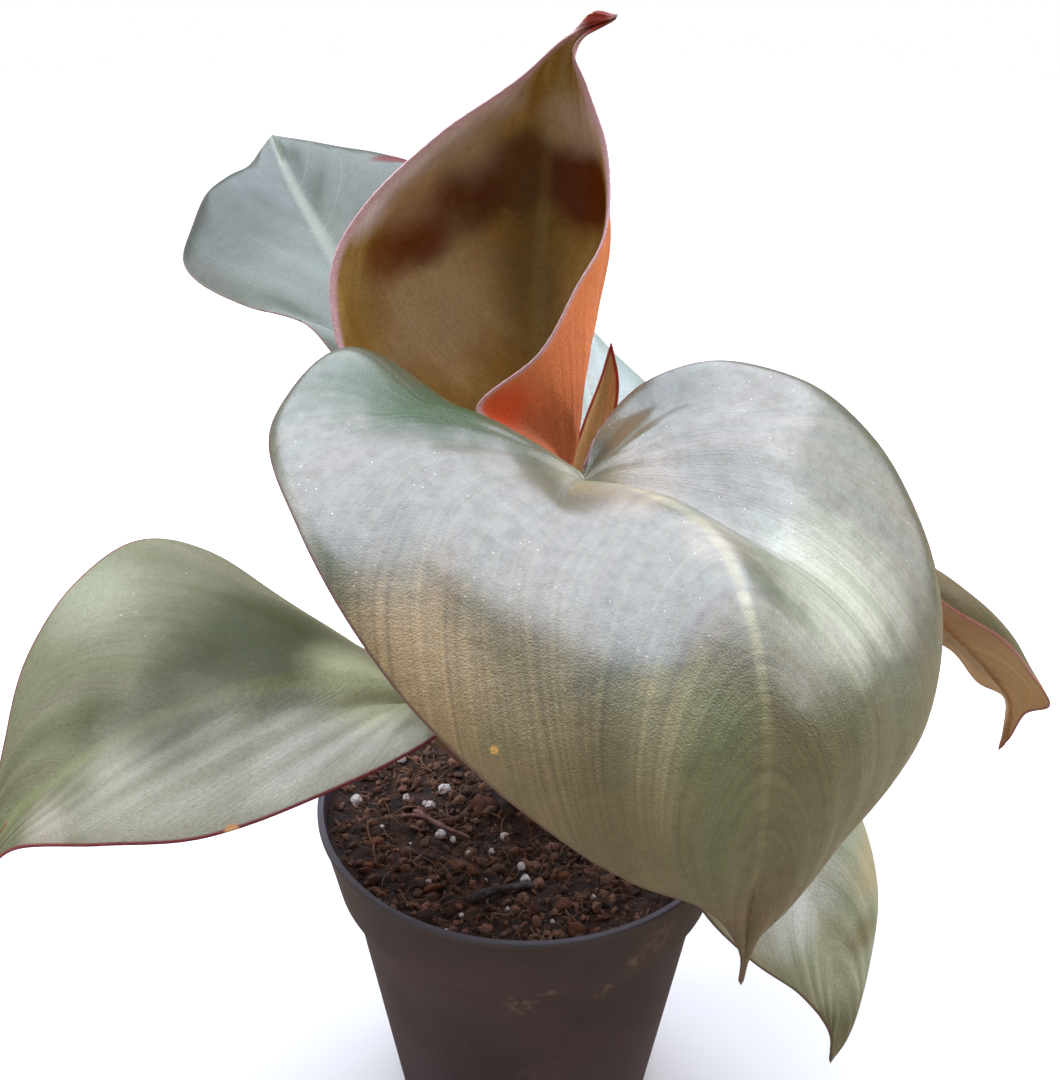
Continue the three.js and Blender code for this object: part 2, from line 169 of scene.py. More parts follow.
def addPiece(name, points, faces, material, replaced=None, fields=None, grid=None):
    # A mesh from arrays in millimetres. Fields are one value a point, grid is the UV a corner.
    mesh = bpy.data.meshes.new(name)
    mesh.vertices.add(len(points))
    mesh.vertices.foreach_set("co", (points * mm).astype(np.float32).ravel())
    mesh.loops.add(faces.size)
    mesh.loops.foreach_set("vertex_index", faces.astype(np.int32).ravel())
    mesh.polygons.add(len(faces))
    mesh.polygons.foreach_set("loop_start", np.arange(0, faces.size, 3, dtype=np.int32))
    mesh.polygons.foreach_set("use_smooth", np.ones(len(faces), bool))
    mesh.update(calc_edges=True)
    for field, values in (fields or {}).items():
        layer = mesh.attributes.new(field, "FLOAT", "POINT")
        layer.data.foreach_set("value", values.astype(np.float32))
    if grid is not None:
        mesh.uv_layers.new(name="grid").data.foreach_set("uv", grid.astype(np.float32).ravel())
    mesh.materials.append(material)
    piece = addObject(name, mesh)
    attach(piece, "root")
    if replaced:
        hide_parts(replaced)
    return piece


def meshOf(shape, name):
    mesh = bpy.data.meshes.new(name)
    shape.to_mesh(mesh)
    shape.free()
    return mesh


def quads(ids, turned=False):
    # Both triangles of every cell in a grid of point numbers, turned over if asked.
    a, b, c, d = ids[:-1, :-1], ids[:-1, 1:], ids[1:, 1:], ids[1:, :-1]
    halves = [(a, c, b), (a, d, c)] if turned else [(a, b, c), (a, c, d)]
    return np.concatenate([np.stack(half, -1).reshape(-1, 3) for half in halves])


def ringFaces(rings, sides):
    # Triangles between closed rings of points that follow each other, facing outwards when
    # the rings climb and each runs counter-clockwise seen from their end.
    ids = np.arange(rings * sides).reshape(rings, sides)
    return quads(np.concatenate([ids, ids[:, :1]], axis=1))


def turnedRings(radius, height, sides, centre=(0, 0)):
    # One ring about an upright axis for each row of radii.
    angle = fullTurn(sides)
    x = centre[0] + radius * np.cos(angle)
    y = centre[1] + radius * np.sin(angle)
    return np.stack([x, y, np.broadcast_to(height, x.shape)], -1)


def closedTube(rings):
    # Rings of points, closed by a point at the middle of the first and of the last ring.
    count, sides = rings.shape[:2]
    points = np.concatenate([rings.reshape(-1, 3), rings[:1].mean(axis=1), rings[-1:].mean(axis=1)])
    around = np.arange(sides)
    ahead = np.roll(around, -1)
    start = np.stack([np.full(sides, count * sides), ahead, around], -1)
    last = (count - 1) * sides
    end = np.stack([np.full(sides, count * sides + 1), last + around, last + ahead], -1)
    return points, np.concatenate([ringFaces(count, sides), start, end])


# Shader tools

def tone(red, green, blue):
    # A screen colour from 0 to 255 as the linear colour that shaders use.
    screen = np.array([red, green, blue]) / 255
    linear = np.where(screen < 0.04045, screen / 12.92, ((screen + 0.055) / 1.055) ** 2.4)
    return (*linear.tolist(), 1.0)


def feed(tree, socket, value):
    if isinstance(value, bpy.types.NodeSocket):
        tree.links.new(value, socket)
    else:
        socket.default_value = value


def addNode(tree, kind, inputs=None, **settings):
    node = tree.nodes.new("ShaderNode" + kind)
    for name, value in settings.items():
        setattr(node, name, value)
    for name, value in (inputs or {}).items():
        feed(tree, node.inputs[name], value)
    return node


def calc(tree, operation, a, b=0.0, clamp=False):
    return addNode(tree, "Math", {0: a, 1: b}, operation=operation, use_clamp=clamp).outputs[0]


def times(tree, a, b, clamp=False):
    return calc(tree, "MULTIPLY", a, b, clamp)


def plus(tree, a, b, clamp=False):
    return calc(tree, "ADD", a, b, clamp)


def minus(tree, a, b):
    return calc(tree, "SUBTRACT", a, b)


def mixColour(tree, share, a, b, blend="MIX"):
    node = addNode(tree, "Mix", {0: share, 6: a, 7: b}, data_type="RGBA", blend_type=blend)
    node.clamp_factor = True
    return node.outputs[2]


def layered(tree, colour, *layers):
    # Each layer is a share and the colour that it mixes in.
    for share, other in layers:
        colour = mixColour(tree, share, colour, other)
    return colour


def mapped(tree, value, start, end, low=0.0, high=1.0):
    # Smooth step of a value between two limits.
    inputs = {"Value": value, "From Min": start, "From Max": end, "To Min": low, "To Max": high}
    return addNode(tree, "MapRange", inputs, interpolation_type="SMOOTHSTEP").outputs["Result"]


def noise(tree, vector, scale, detail=2.0, rough=0.5):
    inputs = {"Vector": vector, "Scale": scale, "Detail": detail, "Roughness": rough}
    return addNode(tree, "TexNoise", inputs).outputs["Fac"]


def stretched(tree, vector, scale):
    return addNode(tree, "Mapping", {"Vector": vector, "Scale": scale}).outputs["Vector"]


def newGroup(name, inputs, outputs):
    group = bpy.data.node_groups.new(name, "ShaderNodeTree")
    kinds = {"colour": "NodeSocketColor", "value": "NodeSocketFloat", "vector": "NodeSocketVector"}
    for side, sockets in (("INPUT", inputs), ("OUTPUT", outputs)):
        for label, kind in sockets.items():
            group.interface.new_socket(name=label, in_out=side, socket_type=kinds[kind])
    return group, group.nodes.new("NodeGroupInput").outputs, group.nodes.new("NodeGroupOutput").inputs


def useGroup(tree, group, inputs):
    return addNode(tree, "Group", inputs, node_tree=group).outputs


def newMaterial(name):
    material = bpy.data.materials.new(name)
    material.use_nodes = True
    tree = material.node_tree
    tree.nodes.clear()
    shader = addNode(tree, "BsdfPrincipled")
    addNode(tree, "OutputMaterial", {"Surface": shader.outputs["BSDF"]})
    return material, tree, shader


def finish(tree, shader, colour, roughness, height, strength, depth):
    # Colour, roughness and a bump, whose depth is in millimetres.
    feed(tree, shader.inputs["Base Color"], colour)
    feed(tree, shader.inputs["Roughness"], roughness)
    inputs = {"Height": height, "Strength": strength, "Distance": depth * mm}
    feed(tree, shader.inputs["Normal"], addNode(tree, "Bump", inputs).outputs["Normal"])


def attribute(tree, name):
    return addNode(tree, "Attribute", attribute_name=name).outputs["Fac"]


def objectPlace(tree):
    return addNode(tree, "TexCoord").outputs["Object"]


# Shared effects

def makeVeinGroup():
    # Lines where the vein coordinate passes whole steps, slightly wavy, with finer ones between
    # them, and long streaks that run along the veins.
    group, given, out = newGroup(
        "veinPattern",
        dict.fromkeys(["Across", "Vein", "Count", "Waver"], "value"),
        dict.fromkeys(["Lines", "Fine lines", "Streaks", "Broad"], "value"),
    )

    def onBlade(acrossScale, order):
        across = times(group, given["Across"], acrossScale)
        return addNode(group, "CombineXYZ", {"X": across, "Y": order}).outputs[0]

    def ridges(order, start):
        wave = calc(group, "PINGPONG", order, 0.5)
        return mapped(group, times(group, wave, 2.0), start, 1.0)

    order = times(group, given["Vein"], given["Count"])
    drift = minus(group, noise(group, onBlade(2.5, order), 0.9, 1.0), 0.5)
    order = plus(group, order, times(group, drift, given["Waver"]))
    feed(group, out["Lines"], ridges(order, 0.93))
    feed(group, out["Fine lines"], ridges(times(group, order, 4.0), 0.72))
    lanes = onBlade(1.6, times(group, order, 10.0))
    feed(group, out["Streaks"], noise(group, lanes, 1.0, 3.0, 0.6))
    feed(group, out["Broad"], noise(group, onBlade(1.0, times(group, order, 1.3)), 1.2, 2.0))
    return group


def makeSpeckleGroup():
    # Small round specks in a few of the cells of a cell pattern.
    inputs = {"Place": "vector", "Scale": "value", "Share": "value", "Size": "value"}
    group, given, out = newGroup("speckles", inputs, {"Mask": "value"})
    cells = addNode(group, "TexVoronoi", {"Vector": given["Place"], "Scale": given["Scale"]})
    dot = calc(group, "LESS_THAN", cells.outputs["Distance"], given["Size"])
    pick = addNode(group, "SeparateColor", {"Color": cells.outputs["Color"]}).outputs[0]
    feed(group, out["Mask"], times(group, dot, calc(group, "LESS_THAN", pick, given["Share"])))
    return group


def makeDustGroup():
    # Patchy dust: broad noise decides where, fine noise breaks it up.
    inputs = {"Place": "vector", "Scale": "value", "Amount": "value"}
    group, given, out = newGroup("dust", inputs, {"Mask": "value"})
    broad = noise(group, given["Place"], given["Scale"], 3.0)
    fine = noise(group, given["Place"], times(group, given["Scale"], 14.0), 4.0, 0.7)
    start = minus(group, 0.78, given["Amount"])
    where = mapped(group, broad, start, plus(group, start, 0.2))
    feed(group, out["Mask"], times(group, where, mapped(group, fine, 0.4, 0.72)))
    return group


skinColours = ["upper", "upperTint", "upperVein", "under", "underTint", "underVein"]
skinValues = ["marginWidth", "ribWidth", "heartSize", "veinCount", "veinStrength",
              "streakStrength", "speckShare", "coat"]
bladeFields = ["side", "marginGap", "ribGap", "heartGap"]

skinDetail = {
    "blotch": 26.0,  # these are noise scales, per metre
    "underBlotch": 34.0,
    "leather": 1100.0,
    "grain": 2600.0,
    "mottle": 330.0,
    "pebbles": 2300.0,
    "quilt": 300.0,
    "specks": 620.0,
    "speckSize": 0.1,
    "speckColour": (0.62, 0.62, 0.55, 1),
    "leatherShare": 0.32,
    "ribNarrowing": 90.0,  # millimetres from the stalk to where the midrib has half its width
    "roughness": 0.3,  # the least, to which the grain adds
    "grainRoughness": 0.24,
    "heights": {"grain": 0.3, "pebbles": -0.13, "streaks": 0.25, "quilt": 0.5, "lines": -0.1,
                "fineLines": -0.05},
}


def makeLeafSkinGroup(veins, speckles):
    # Colour, roughness and height of both faces of a blade, from its distances and grid.
    inputs = {"place": "vector", "grid": "vector"} | dict.fromkeys(bladeFields + skinValues, "value")
    outputs = dict.fromkeys(["Shade", "Rib", "Edge", "Roughness", "Coat", "Height"], "value")
    group, given, out = newGroup("leafSkin", inputs | dict.fromkeys(skinColours, "colour"),
                                 outputs | {"Color": "colour"})
    place = given["place"]

    def nearness(gap, width, full, none, share=1.0):
        return mapped(group, calc(group, "DIVIDE", given[gap], width), full, none, share, 0.0)

    def centred(value):
        return minus(group, value, 0.5)

    parts = addNode(group, "SeparateXYZ", {"Vector": given["grid"]}).outputs
    across = calc(group, "ABSOLUTE", minus(group, times(group, parts[0], 2.0), 1.0))
    pattern = useGroup(group, veins, {"Across": parts[0], "Vein": parts[1],
                                      "Count": given["veinCount"], "Waver": 0.5})
    lines = times(group, pattern["Lines"], minus(group, 1.0, times(group, across, 0.75)))
    # midrib, narrowing away from the stalk, and the pale place where it starts
    narrowing = mapped(group, given["heartGap"], 0.0, skinDetail["ribNarrowing"], 1.0, 0.5)
    rib = nearness("ribGap", times(group, given["ribWidth"], narrowing), 0.25, 1.5)
    heart = nearness("heartGap", given["heartSize"], 0.1, 1.0, 0.8)
    ribMask = calc(group, "MAXIMUM", times(group, rib, 0.75), heart)
    feed(group, out["Rib"], ribMask)
    # upper face
    blotch = plus(group, noise(group, place, skinDetail["blotch"], 3.0), pattern["Broad"])
    upper = mixColour(group, mapped(group, blotch, 0.8, 1.2), given["upper"], given["upperTint"])
    lanes = times(group, centred(pattern["Streaks"]), given["streakStrength"])
    leather = centred(noise(group, place, skinDetail["leather"], 4.0, 0.75))
    lanes = plus(group, lanes, times(group, leather, skinDetail["leatherShare"]))
    feed(group, out["Shade"], plus(group, 1.0, times(group, lanes, 2.0)))
    fineShare = times(group, pattern["Fine lines"], times(group, given["streakStrength"], 0.08))
    specks = useGroup(group, speckles, {"Place": place, "Scale": skinDetail["specks"],
                                        "Share": given["speckShare"], "Size": skinDetail["speckSize"]})
    upper = layered(group, upper, (fineShare, given["upperVein"]),
                    (times(group, lines, given["veinStrength"]), given["upperVein"]),
                    (times(group, ribMask, 0.6), given["upperVein"]),
                    (times(group, specks["Mask"], 0.75), skinDetail["speckColour"]))
    # under face
    clouds = mapped(group, noise(group, place, skinDetail["underBlotch"], 3.0), 0.35, 0.65)
    under = mixColour(group, clouds, given["under"], given["underTint"])
    underLines = times(group, calc(group, "MAXIMUM", pattern["Fine lines"], lines), 0.3)
    under = layered(group, under, (underLines, given["underVein"]),
                    (times(group, ribMask, 0.8), given["underVein"]))
    feed(group, out["Color"], mixColour(group, mapped(group, given["side"], 0.35, 0.65), under, upper))
    feed(group, out["Edge"], nearness("marginGap", given["marginWidth"], 0.3, 1.3))
    # gloss and relief
    grain = noise(group, place, skinDetail["grain"], 2.0, 0.6)
    rough = times(group, grain, skinDetail["grainRoughness"])
    feed(group, out["Roughness"], plus(group, skinDetail["roughness"], rough))
    sheen = mapped(group, noise(group, place, skinDetail["mottle"], 5.0, 0.72), 0.32, 0.62, 0.7, 1.0)
    feed(group, out["Coat"], times(group, given["coat"], sheen))
    pebbles = addNode(group, "TexVoronoi", {"Vector": place, "Scale": skinDetail["pebbles"]})
    layers = {"grain": grain, "pebbles": pebbles.outputs["Distance"], "streaks": pattern["Streaks"],
              "quilt": noise(group, place, skinDetail["quilt"], 2.0), "lines": lines,
              "fineLines": pattern["Fine lines"]}
    height = 0.0
    for name, layer in layers.items():
        height = plus(group, height, times(group, layer, skinDetail["heights"][name]))
    feed(group, out["Height"], height)
    return group


veinPattern = makeVeinGroup()
speckles = makeSpeckleGroup()
dust = makeDustGroup()
leafSkin = makeLeafSkinGroup(veinPattern, speckles)
print("shared effects made")


# Leaves

bladeShape = {
    "thickness": 0.7,
    "thinning": 0.4,  # share of the thickness lost towards the margin
    "groove": 0.2,  # depth of the midrib's channel on the upper face
    "grooveWidth": 1.5,
    "keel": 1.2,  # height of the midrib on the lower face, at the stalk
    "keelWidth": 1.5,
    "sideVeins": 0.12,  # height of the side veins on the lower face
    "shrinkLength": 95,  # over this distance from the stalk the midrib shrinks
    "rimSteps": 4,
    "trackPoints": 500,
    "curl": 0.3,  # how far the margin bends down, within the reach
    "curlReach": 4.5,
    "waveHeight": 0.5,
    "waveSize": 26,
    "tipKeel": 0.15,  # the midrib's height and width at the tip, as shares
    "tipWidth": 0.4,
    "veinBend": 0.9,  # how far veins lean towards the tip before they reach the margin
}


def spot(at, radius, share, colour=None, **more):
    # A soft patch round a place on the blade, with its colour as red, green and blue. More may
    # be core, squash, face, gloss (a factor on the coat) and over (drawn over the margin).
    patch = {"at": at, "radius": radius, "share": share, **more}
    if colour:
        patch["colour"] = tone(*colour)
    return patch


greyGreen = {
    "upper": tone(68, 76, 48),
    "upperTint": tone(86, 78, 48),
    "upperVein": tone(172, 158, 116),
    "under": tone(128, 70, 58),
    "underTint": tone(112, 78, 62),
    "underVein": tone(160, 100, 84),
    "margin": tone(96, 52, 46),
    "marginWidth": 0.6,
    "ribWidth": 2.6,
    "heartSize": 13.0,
    "veinStrength": 0.16,
    "streakStrength": 0.7,
    "speckShare": 0.12,
    "specular": 0.7,
    "coat": 1.0,
    "coatRoughness": 0.28,
    "coatIor": 2.0,
    "bump": 0.6,
    "ragged": 0.3,  # how uneven the edges of patches are, and the scale of that
    "raggedScale": 140.0,
}

frontLeaf = {
    "name": "front",
    "slot": "blade_grey_green",
    "rows": 190,
    "columns": 66,
    "fan": 0.5,
    "midrib": [[11, -18, 182], [22, -23, 183], [33, -33, 183], [39, -52, 178], [42, -66, 165],
               [43, -70, 144], [44, -62, 90]],
    "left": [[9, -14, 182], [4, -8, 182], [-11, -5, 188], [-36, -8, 206], [-49, -26, 198],
             [-41, -50, 188], [-22, -70, 166], [2, -77, 144], [20, -76, 129], [33, -71, 119],
             [40, -66, 108], [43.4, -64, 99]],
    "right": [[11, -13, 183], [15, -2, 187], [24, 4, 194], [40, 9, 197], [60, 8, 192],
              [76, 2, 178], [86, -16, 156], [80, -40, 137], [61, -58, 122], [51, -63, 111],
              [46, -64, 105], [44.6, -63.6, 99]],
    "leftBow": [[0, 0, 2], [-8, -8, 16], [-12, -18, 18], [0, -18, 10], [0, -6, 4], [0, 0, 0]],
    "rightBow": [[0, 0, -4], [4, -4, 8], [10, -8, 16], [10, -14, 8], [4, -8, 2], [0, 0, 0]],
    "swapped": True,
    "root": {"azimuth": -72, "height": 92},
    "stalk": [[7, -11, 115], [10, -17, 150]],
    "stalkRadii": [3, 2.1],
    "veinCount": 12,
    "pleat": 0.1,
    "blur": 0.16,
    "round": 11,
    "groove": 0.06,
    "patches": [
        spot((-15, -71, 160), 38, 0.75, (132, 117, 80)),
        spot((13, -78, 132), 46, 0.75, (134, 114, 76)),
        spot((49, -69, 146), 40, 0.8, (92, 86, 46)),
        spot((38, -64, 168), 18, 1.0, gloss=0.5),
        spot((58, -60, 156), 17, 1.0, gloss=0.4),
        # painted highlight: a pale patch that lightens the right lobe
        spot((60, -38, 170), 25, 0.7, (178, 184, 156)),
        # painted sheen: a pale patch in the lower middle of the blade
        spot((29, -74, 157), 21, 0.55, (168, 160, 120)),
        spot((34, -72, 144), 13, 0.7, (70, 90, 44), squash=(1, 1, 0.3)),
        spot((-22, -70, 168), 22, 0.6, (174, 144, 104), squash=(1, 1, 0.4)),
        spot((14, -76, 136), 12, 0.6, (86, 76, 36), squash=(1, 1, 0.3)),
        spot((44, -65, 108), 20, 0.5, (120, 74, 52)),
        spot((20, -22, 183), 16, 0.4, (176, 150, 124)),
        spot((36, -38, 182), 14, 0.35, (176, 156, 128)),
        # painted shadow in the sinus beside the stalk
        spot((13, -12.5, 184), 9, 0.95, (54, 56, 42), gloss=0.05),
        # painted shade where the young leaf behind shades the right lobe
        spot((28, 0, 193), 14, 0.6, (60, 68, 52), gloss=0.5),
        # a green strip along the crest: partly the leaf's own green, partly painted shade where the
        # crest faces away from the light
        spot((-5, -18, 188), 11, 0.8, (58, 80, 50), gloss=0.3),
        spot((-15, -20, 194), 13, 0.9, (56, 82, 50), gloss=0.1),
        spot((-25, -22, 200), 16, 0.95, (60, 84, 54), gloss=0.1),
        spot((-36, -20, 205), 14, 0.8, (66, 88, 60), gloss=0.4),
        spot((-5.6, -75.1, 158.6), 1.0, 1.0, (216, 164, 84), core=0.6, squash=(1, 1, 0.8)),
        spot((28.3, -20.2, 182.5), 0.6, 0.9, (70, 60, 44), core=0.5),
        spot((73.2, -41.7, 157), 0.5, 0.7, (214, 214, 200), core=0.4, squash=(1, 1, 0.25)),
    ],
    "look": greyGreen | {"veinStrength": 0.09, "streakStrength": 0.8, "ragged": 0.7, "speckShare": 0.25,
                         "upperVein": tone(160, 156, 112), "bump": 0.75, "ribWidth": 1.7},
}

youngLeaf = {
    "name": "young",
    "slot": "blade_bronze",
    "rows": 150,
    "columns": 56,
    "fan": 0.35,
    "midrib": [[6, 18, 159], [3, 29, 179], [2, 35, 203], [3, 36, 230], [6, 31, 250],
               [11, 22, 264], [16, 16, 265]],
    "left": [[4, 16, 160], [-17, 9, 171], [-32, 7, 184], [-39, 8, 200], [-40, 11, 215],
             [-33, 15, 227], [-18, 21, 240], [-3, 26, 250], [6, 26, 259]],
    "right": [[7, 16, 162], [-2, 10, 175], [-12, 8, 186], [1, 9, 199], [8, 12, 212],
              [14, 17, 222], [14, 24, 237], [10, 27, 249], [8, 25, 257]],
    "leftBow": [[0, 0, 0], [-12, 16, 0], [-20, 18, 0], [-16, 12, 0], [-6, 4, 0], [0, 0, 0]],
    "rightBow": [[0, 0, 0], [14, 12, 0], [16, 12, 0], [14, 8, 0], [4, 4, 0], [0, 0, 0]],
    "root": {"top": [1, 3]},
    "stalk": [[2, 7, 122], [5, 14, 142]],
    "stalkRadii": [2.8, 1.8],
    "veinCount": 10,
    "pleat": 0.1,
    "curl": 1.4,
    "look": greyGreen | {
        "upper": tone(186, 150, 86),
        "upperTint": tone(160, 118, 44),
        "upperVein": tone(184, 158, 108),
        "under": tone(226, 122, 76),
        "underTint": tone(220, 132, 92),
        "underVein": tone(236, 158, 116),
        # the margin's own pink, made paler as a painted highlight along the edge
        "margin": tone(222, 178, 186),
        "marginWidth": 1.8,
        "ribWidth": 2.6,
        "veinStrength": 0.12,
        "streakStrength": 0.08,
        "speckShare": 0.0,
        "specular": 0.22,
        "coat": 0.06,
        "ragged": 0.5,
        "cloud": {"colour": tone(156, 120, 66), "squash": (1, 1, 0.25), "scale": 150.0, "share": 0.7},
    },
    "patches": [
        spot((-24, 28, 219), 12, 0.95, (98, 44, 0), core=0.45),
        spot((-15, 32, 224), 12, 0.95, (98, 44, 0), core=0.5),
        spot((-3, 34, 229), 13, 0.9, (98, 46, 4), core=0.5),
        spot((12, 33, 227), 13, 0.95, (104, 40, 0), core=0.5),
        # painted light: a bright orange underside where light shines through the leaf
        spot((6, 9, 202), 28, 1.0, (255, 146, 94), core=0.6, face="under"),
        spot((-7, 11.7, 184), 11, 0.75, (246, 88, 36), face="under"),
        spot((-22, 30, 202), 24, 0.7, (206, 178, 142)),
        spot((0, 35, 204), 12, 0.6, (100, 78, 38), squash=(1, 1, 0.3)),
        spot((-36, 20, 200), 12, 0.6, (150, 112, 34)),
        spot((-30, 25, 215), 11, 0.8, (122, 58, 4), core=0.3),
        spot((-23, 28, 216), 10, 0.9, (110, 50, 2), core=0.3),
        # painted highlights and sheen along the upper left margin, inward of it, and on the inner right
        # side near the tip
        spot((-33, 15, 228), 11, 0.9, (248, 228, 238), gloss=12),
        spot((-25, 18, 235), 11, 0.9, (248, 228, 238), gloss=12),
        spot((-16, 22, 242), 11, 0.85, (244, 222, 228), gloss=12),
        spot((-7, 26, 247), 10, 0.75, (224, 200, 194), gloss=12),
        spot((10, 31, 241), 11, 0.8, (220, 188, 174), gloss=10),
        spot((-13, 28, 236), 13, 0.6, (200, 170, 148), gloss=2),
        spot((-25, 24, 226), 12, 0.6, (204, 164, 130), gloss=2),
        spot((13, 20, 264), 9, 1.0, (128, 36, 16), face="both", gloss=0, over=True),
    ],
}

upperLeftLeaf = {
    "name": "upper_left",
    "slot": "blade_pale_green",
    "rows": 120,
    "columns": 46,
    "fan": 0.35,
    "midrib": [[-34, 46, 178], [-41, 58, 190], [-50, 72, 199], [-61, 93, 208], [-69, 113, 217]],
    "left": [[-36, 43, 175], [-39, 40, 174], [-47, 46, 183], [-54, 52, 188], [-69, 60, 189],
             [-83, 70, 192], [-87, 76, 195], [-86, 84, 201], [-83, 92, 208], [-78, 98, 211],
             [-74, 102, 212], [-71, 108, 215]],
    "right": [[-32, 43, 176], [-26, 42, 175], [-16, 50, 182], [-13, 62, 196], [-17, 77, 209],
              [-29, 90, 216], [-38, 96, 217], [-50, 102, 217], [-61, 108, 217]],
    "leftBow": [[0, 0, 0], [0, 0, 4], [0, 0, 8], [0, 0, 6], [0, 0, 0]],
    "rightBow": [[0, 0, 0], [0, 0, 4], [0, 0, 8], [0, 0, 6], [0, 0, 0]],
    "root": {"azimuth": 130, "height": 95},
    "stalk": [[-14, 25, 120], [-28, 46, 154]],
    "stalkRadii": [2.5, 1.7],
    "veinCount": 8,
    "pleat": 0.1,
    "round": 5,
    "groove": 0.1,
    "look": greyGreen | {
        "upper": tone(66, 76, 64),
        "upperTint": tone(72, 82, 70),
        "upperVein": tone(150, 156, 136),
        "margin": tone(120, 98, 84),
        "marginWidth": 0.4,
        "ribWidth": 2.2,
        "veinStrength": 0.2,
        "streakStrength": 0.1,
        "speckShare": 0.0,
        "specular": 0.42,
        "coat": 0.3,
        "bump": 0.25,
    },
    "patches": [
        spot((-56, 56, 191), 30, 0.7, (112, 124, 112)),
        spot((-76, 84, 205), 26, 0.6, (46, 54, 46)),
        spot((-32, 92.5, 216.6), 3.2, 1.0, (92, 22, 10),
             core=0.6, gloss=0, squash=(0.3, 1, 1), face="both", over=True),
    ],
}

leftLeaf = {
    "name": "left",
    "slot": "blade_dark_green",
    "rows": 140,
    "columns": 52,
    "fan": 0.4,
    "midrib": [[-22, -24, 132], [-32, -29, 140], [-47, -35, 144], [-64, -41, 143],
               [-82, -44, 135], [-101, -46, 121], [-120, -44, 97]],
    "left": [[-19, -26, 132], [-15, -32, 134], [-19, -42, 136], [-39, -53, 131],
             [-62, -62, 127], [-82, -61, 124], [-102, -53, 116], [-112, -47, 105]],
    "right": [[-20, -21, 131], [-16, -12, 128], [-25, 0, 127], [-39, 4, 125], [-54, 8, 134],
              [-73, 9, 150], [-86, 4, 155], [-98, -6, 150], [-106, -19, 140],
              [-109, -34, 126], [-113, -42, 110]],
    "leftBow": [[0, 0, 0], [0, 0, 8], [0, 0, 10], [0, 0, 8], [0, 0, 2], [0, 0, 0]],
    "rightBow": [[0, 0, 0], [0, 0, 2], [0, 0, 6], [0, 0, 8], [0, 0, 2], [0, 0, 0]],
    "root": {"azimuth": -140, "height": 91},
    "stalk": [[-10, -10, 104], [-18, -20, 119]],
    "stalkRadii": [2.5, 1.7],
    "veinCount": 11,
    "pleat": 0.12,
    "blur": 0.12,
    "round": 7,
    "groove": 0.1,
    "look": greyGreen | {
        "upper": tone(112, 114, 86),
        "upperTint": tone(127, 125, 102),
        "upperVein": tone(136, 142, 98),
        "margin": tone(120, 52, 56),
        "veinStrength": 0.16,
        "streakStrength": 0.08,
        "specular": 0.1,
        "coat": 0.02,
        "bump": 0.35,
    },
    "patches": [
        # painted shade where the front leaf shades this leaf, and on the midrib's shaded side
        spot((-56, -22, 148), 30, 0.8, (46, 56, 14)),
        spot((-68, -36, 147), 15, 0.6, (52, 52, 20)),
        spot((-86, -40, 139), 12, 0.5, (64, 68, 40)),
        # painted sheen on the outer end and the near half
        spot((-95, -55, 121), 11, 0.7, (182, 174, 160)),
        spot((-66, -58, 129), 32, 0.9, (164, 162, 146), core=0.4),
        # painted shade on the midrib's shaded side
        spot((-72, -43, 141), 15, 0.7, (70, 76, 54)),
        # painted sheen on the near half and the top, and painted light where the front leaf's shadow
        # falls
        spot((-36, -50, 133), 24, 0.9, (190, 190, 176), core=0.5),
        spot((-94, -12, 151), 17, 0.6, (160, 164, 140)),
        spot((-34, -28, 140), 17, 0.8, (196, 202, 158)),
        spot((-56.5, -61, 127.6), 2.0, 1.0, (210, 156, 110), core=0.5, over=True),
    ],
}

lowerRightLeaf = {
    "name": "lower_right",
    "slot": "blade_mid_green",
    "rows": 110,
    "columns": 44,
    "fan": 0.4,
    "midrib": [[44, -32, 121], [55, -38, 109], [64, -40, 85], [71, -40, 61], [72, -37, 39]],
    "left": [[45, -29, 122], [49, -22, 123], [60, -16, 119], [73, -17, 104], [80, -25, 85],
             [79, -33, 63], [75, -37, 47]],
    "right": [[42, -33, 123], [35, -38, 128], [31, -45, 121], [34, -50, 104], [47, -49, 85],
              [61, -45, 69], [70, -40, 52]],
    "leftBow": [[0, 0, 0], [4, -4, 6], [6, -4, 6], [2, -2, 2], [0, 0, 0]],
    "rightBow": [[0, 0, 0], [0, -6, 6], [0, -8, 6], [0, -2, 2], [0, 0, 0]],
    "root": {"azimuth": -32, "height": 90},
    "stalk": [[20, -11, 101], [35, -25, 113]],
    "stalkRadii": [2.3, 1.6],
    "veinCount": 9,
    "pleat": 0.15,
    "blur": 0.1,
    "round": 5,
    "groove": 0.1,
    "look": greyGreen | {
        "upper": tone(152, 168, 144),
        "upperTint": tone(168, 170, 146),
        "upperVein": tone(170, 174, 146),
        "streakStrength": 0.25,
        "coat": 0.5,
    },
    "patches": [
        # painted sheen: a whitish patch on the left part
        spot((56, -46, 96), 20, 0.9, (226, 232, 236)),
        spot((78, -28, 92), 12, 0.8, (186, 170, 130)),
        spot((76, -35, 78), 8, 0.7, (112, 104, 66)),
        spot((70, -38, 52), 17, 0.8, (78, 84, 44)),
    ],
}

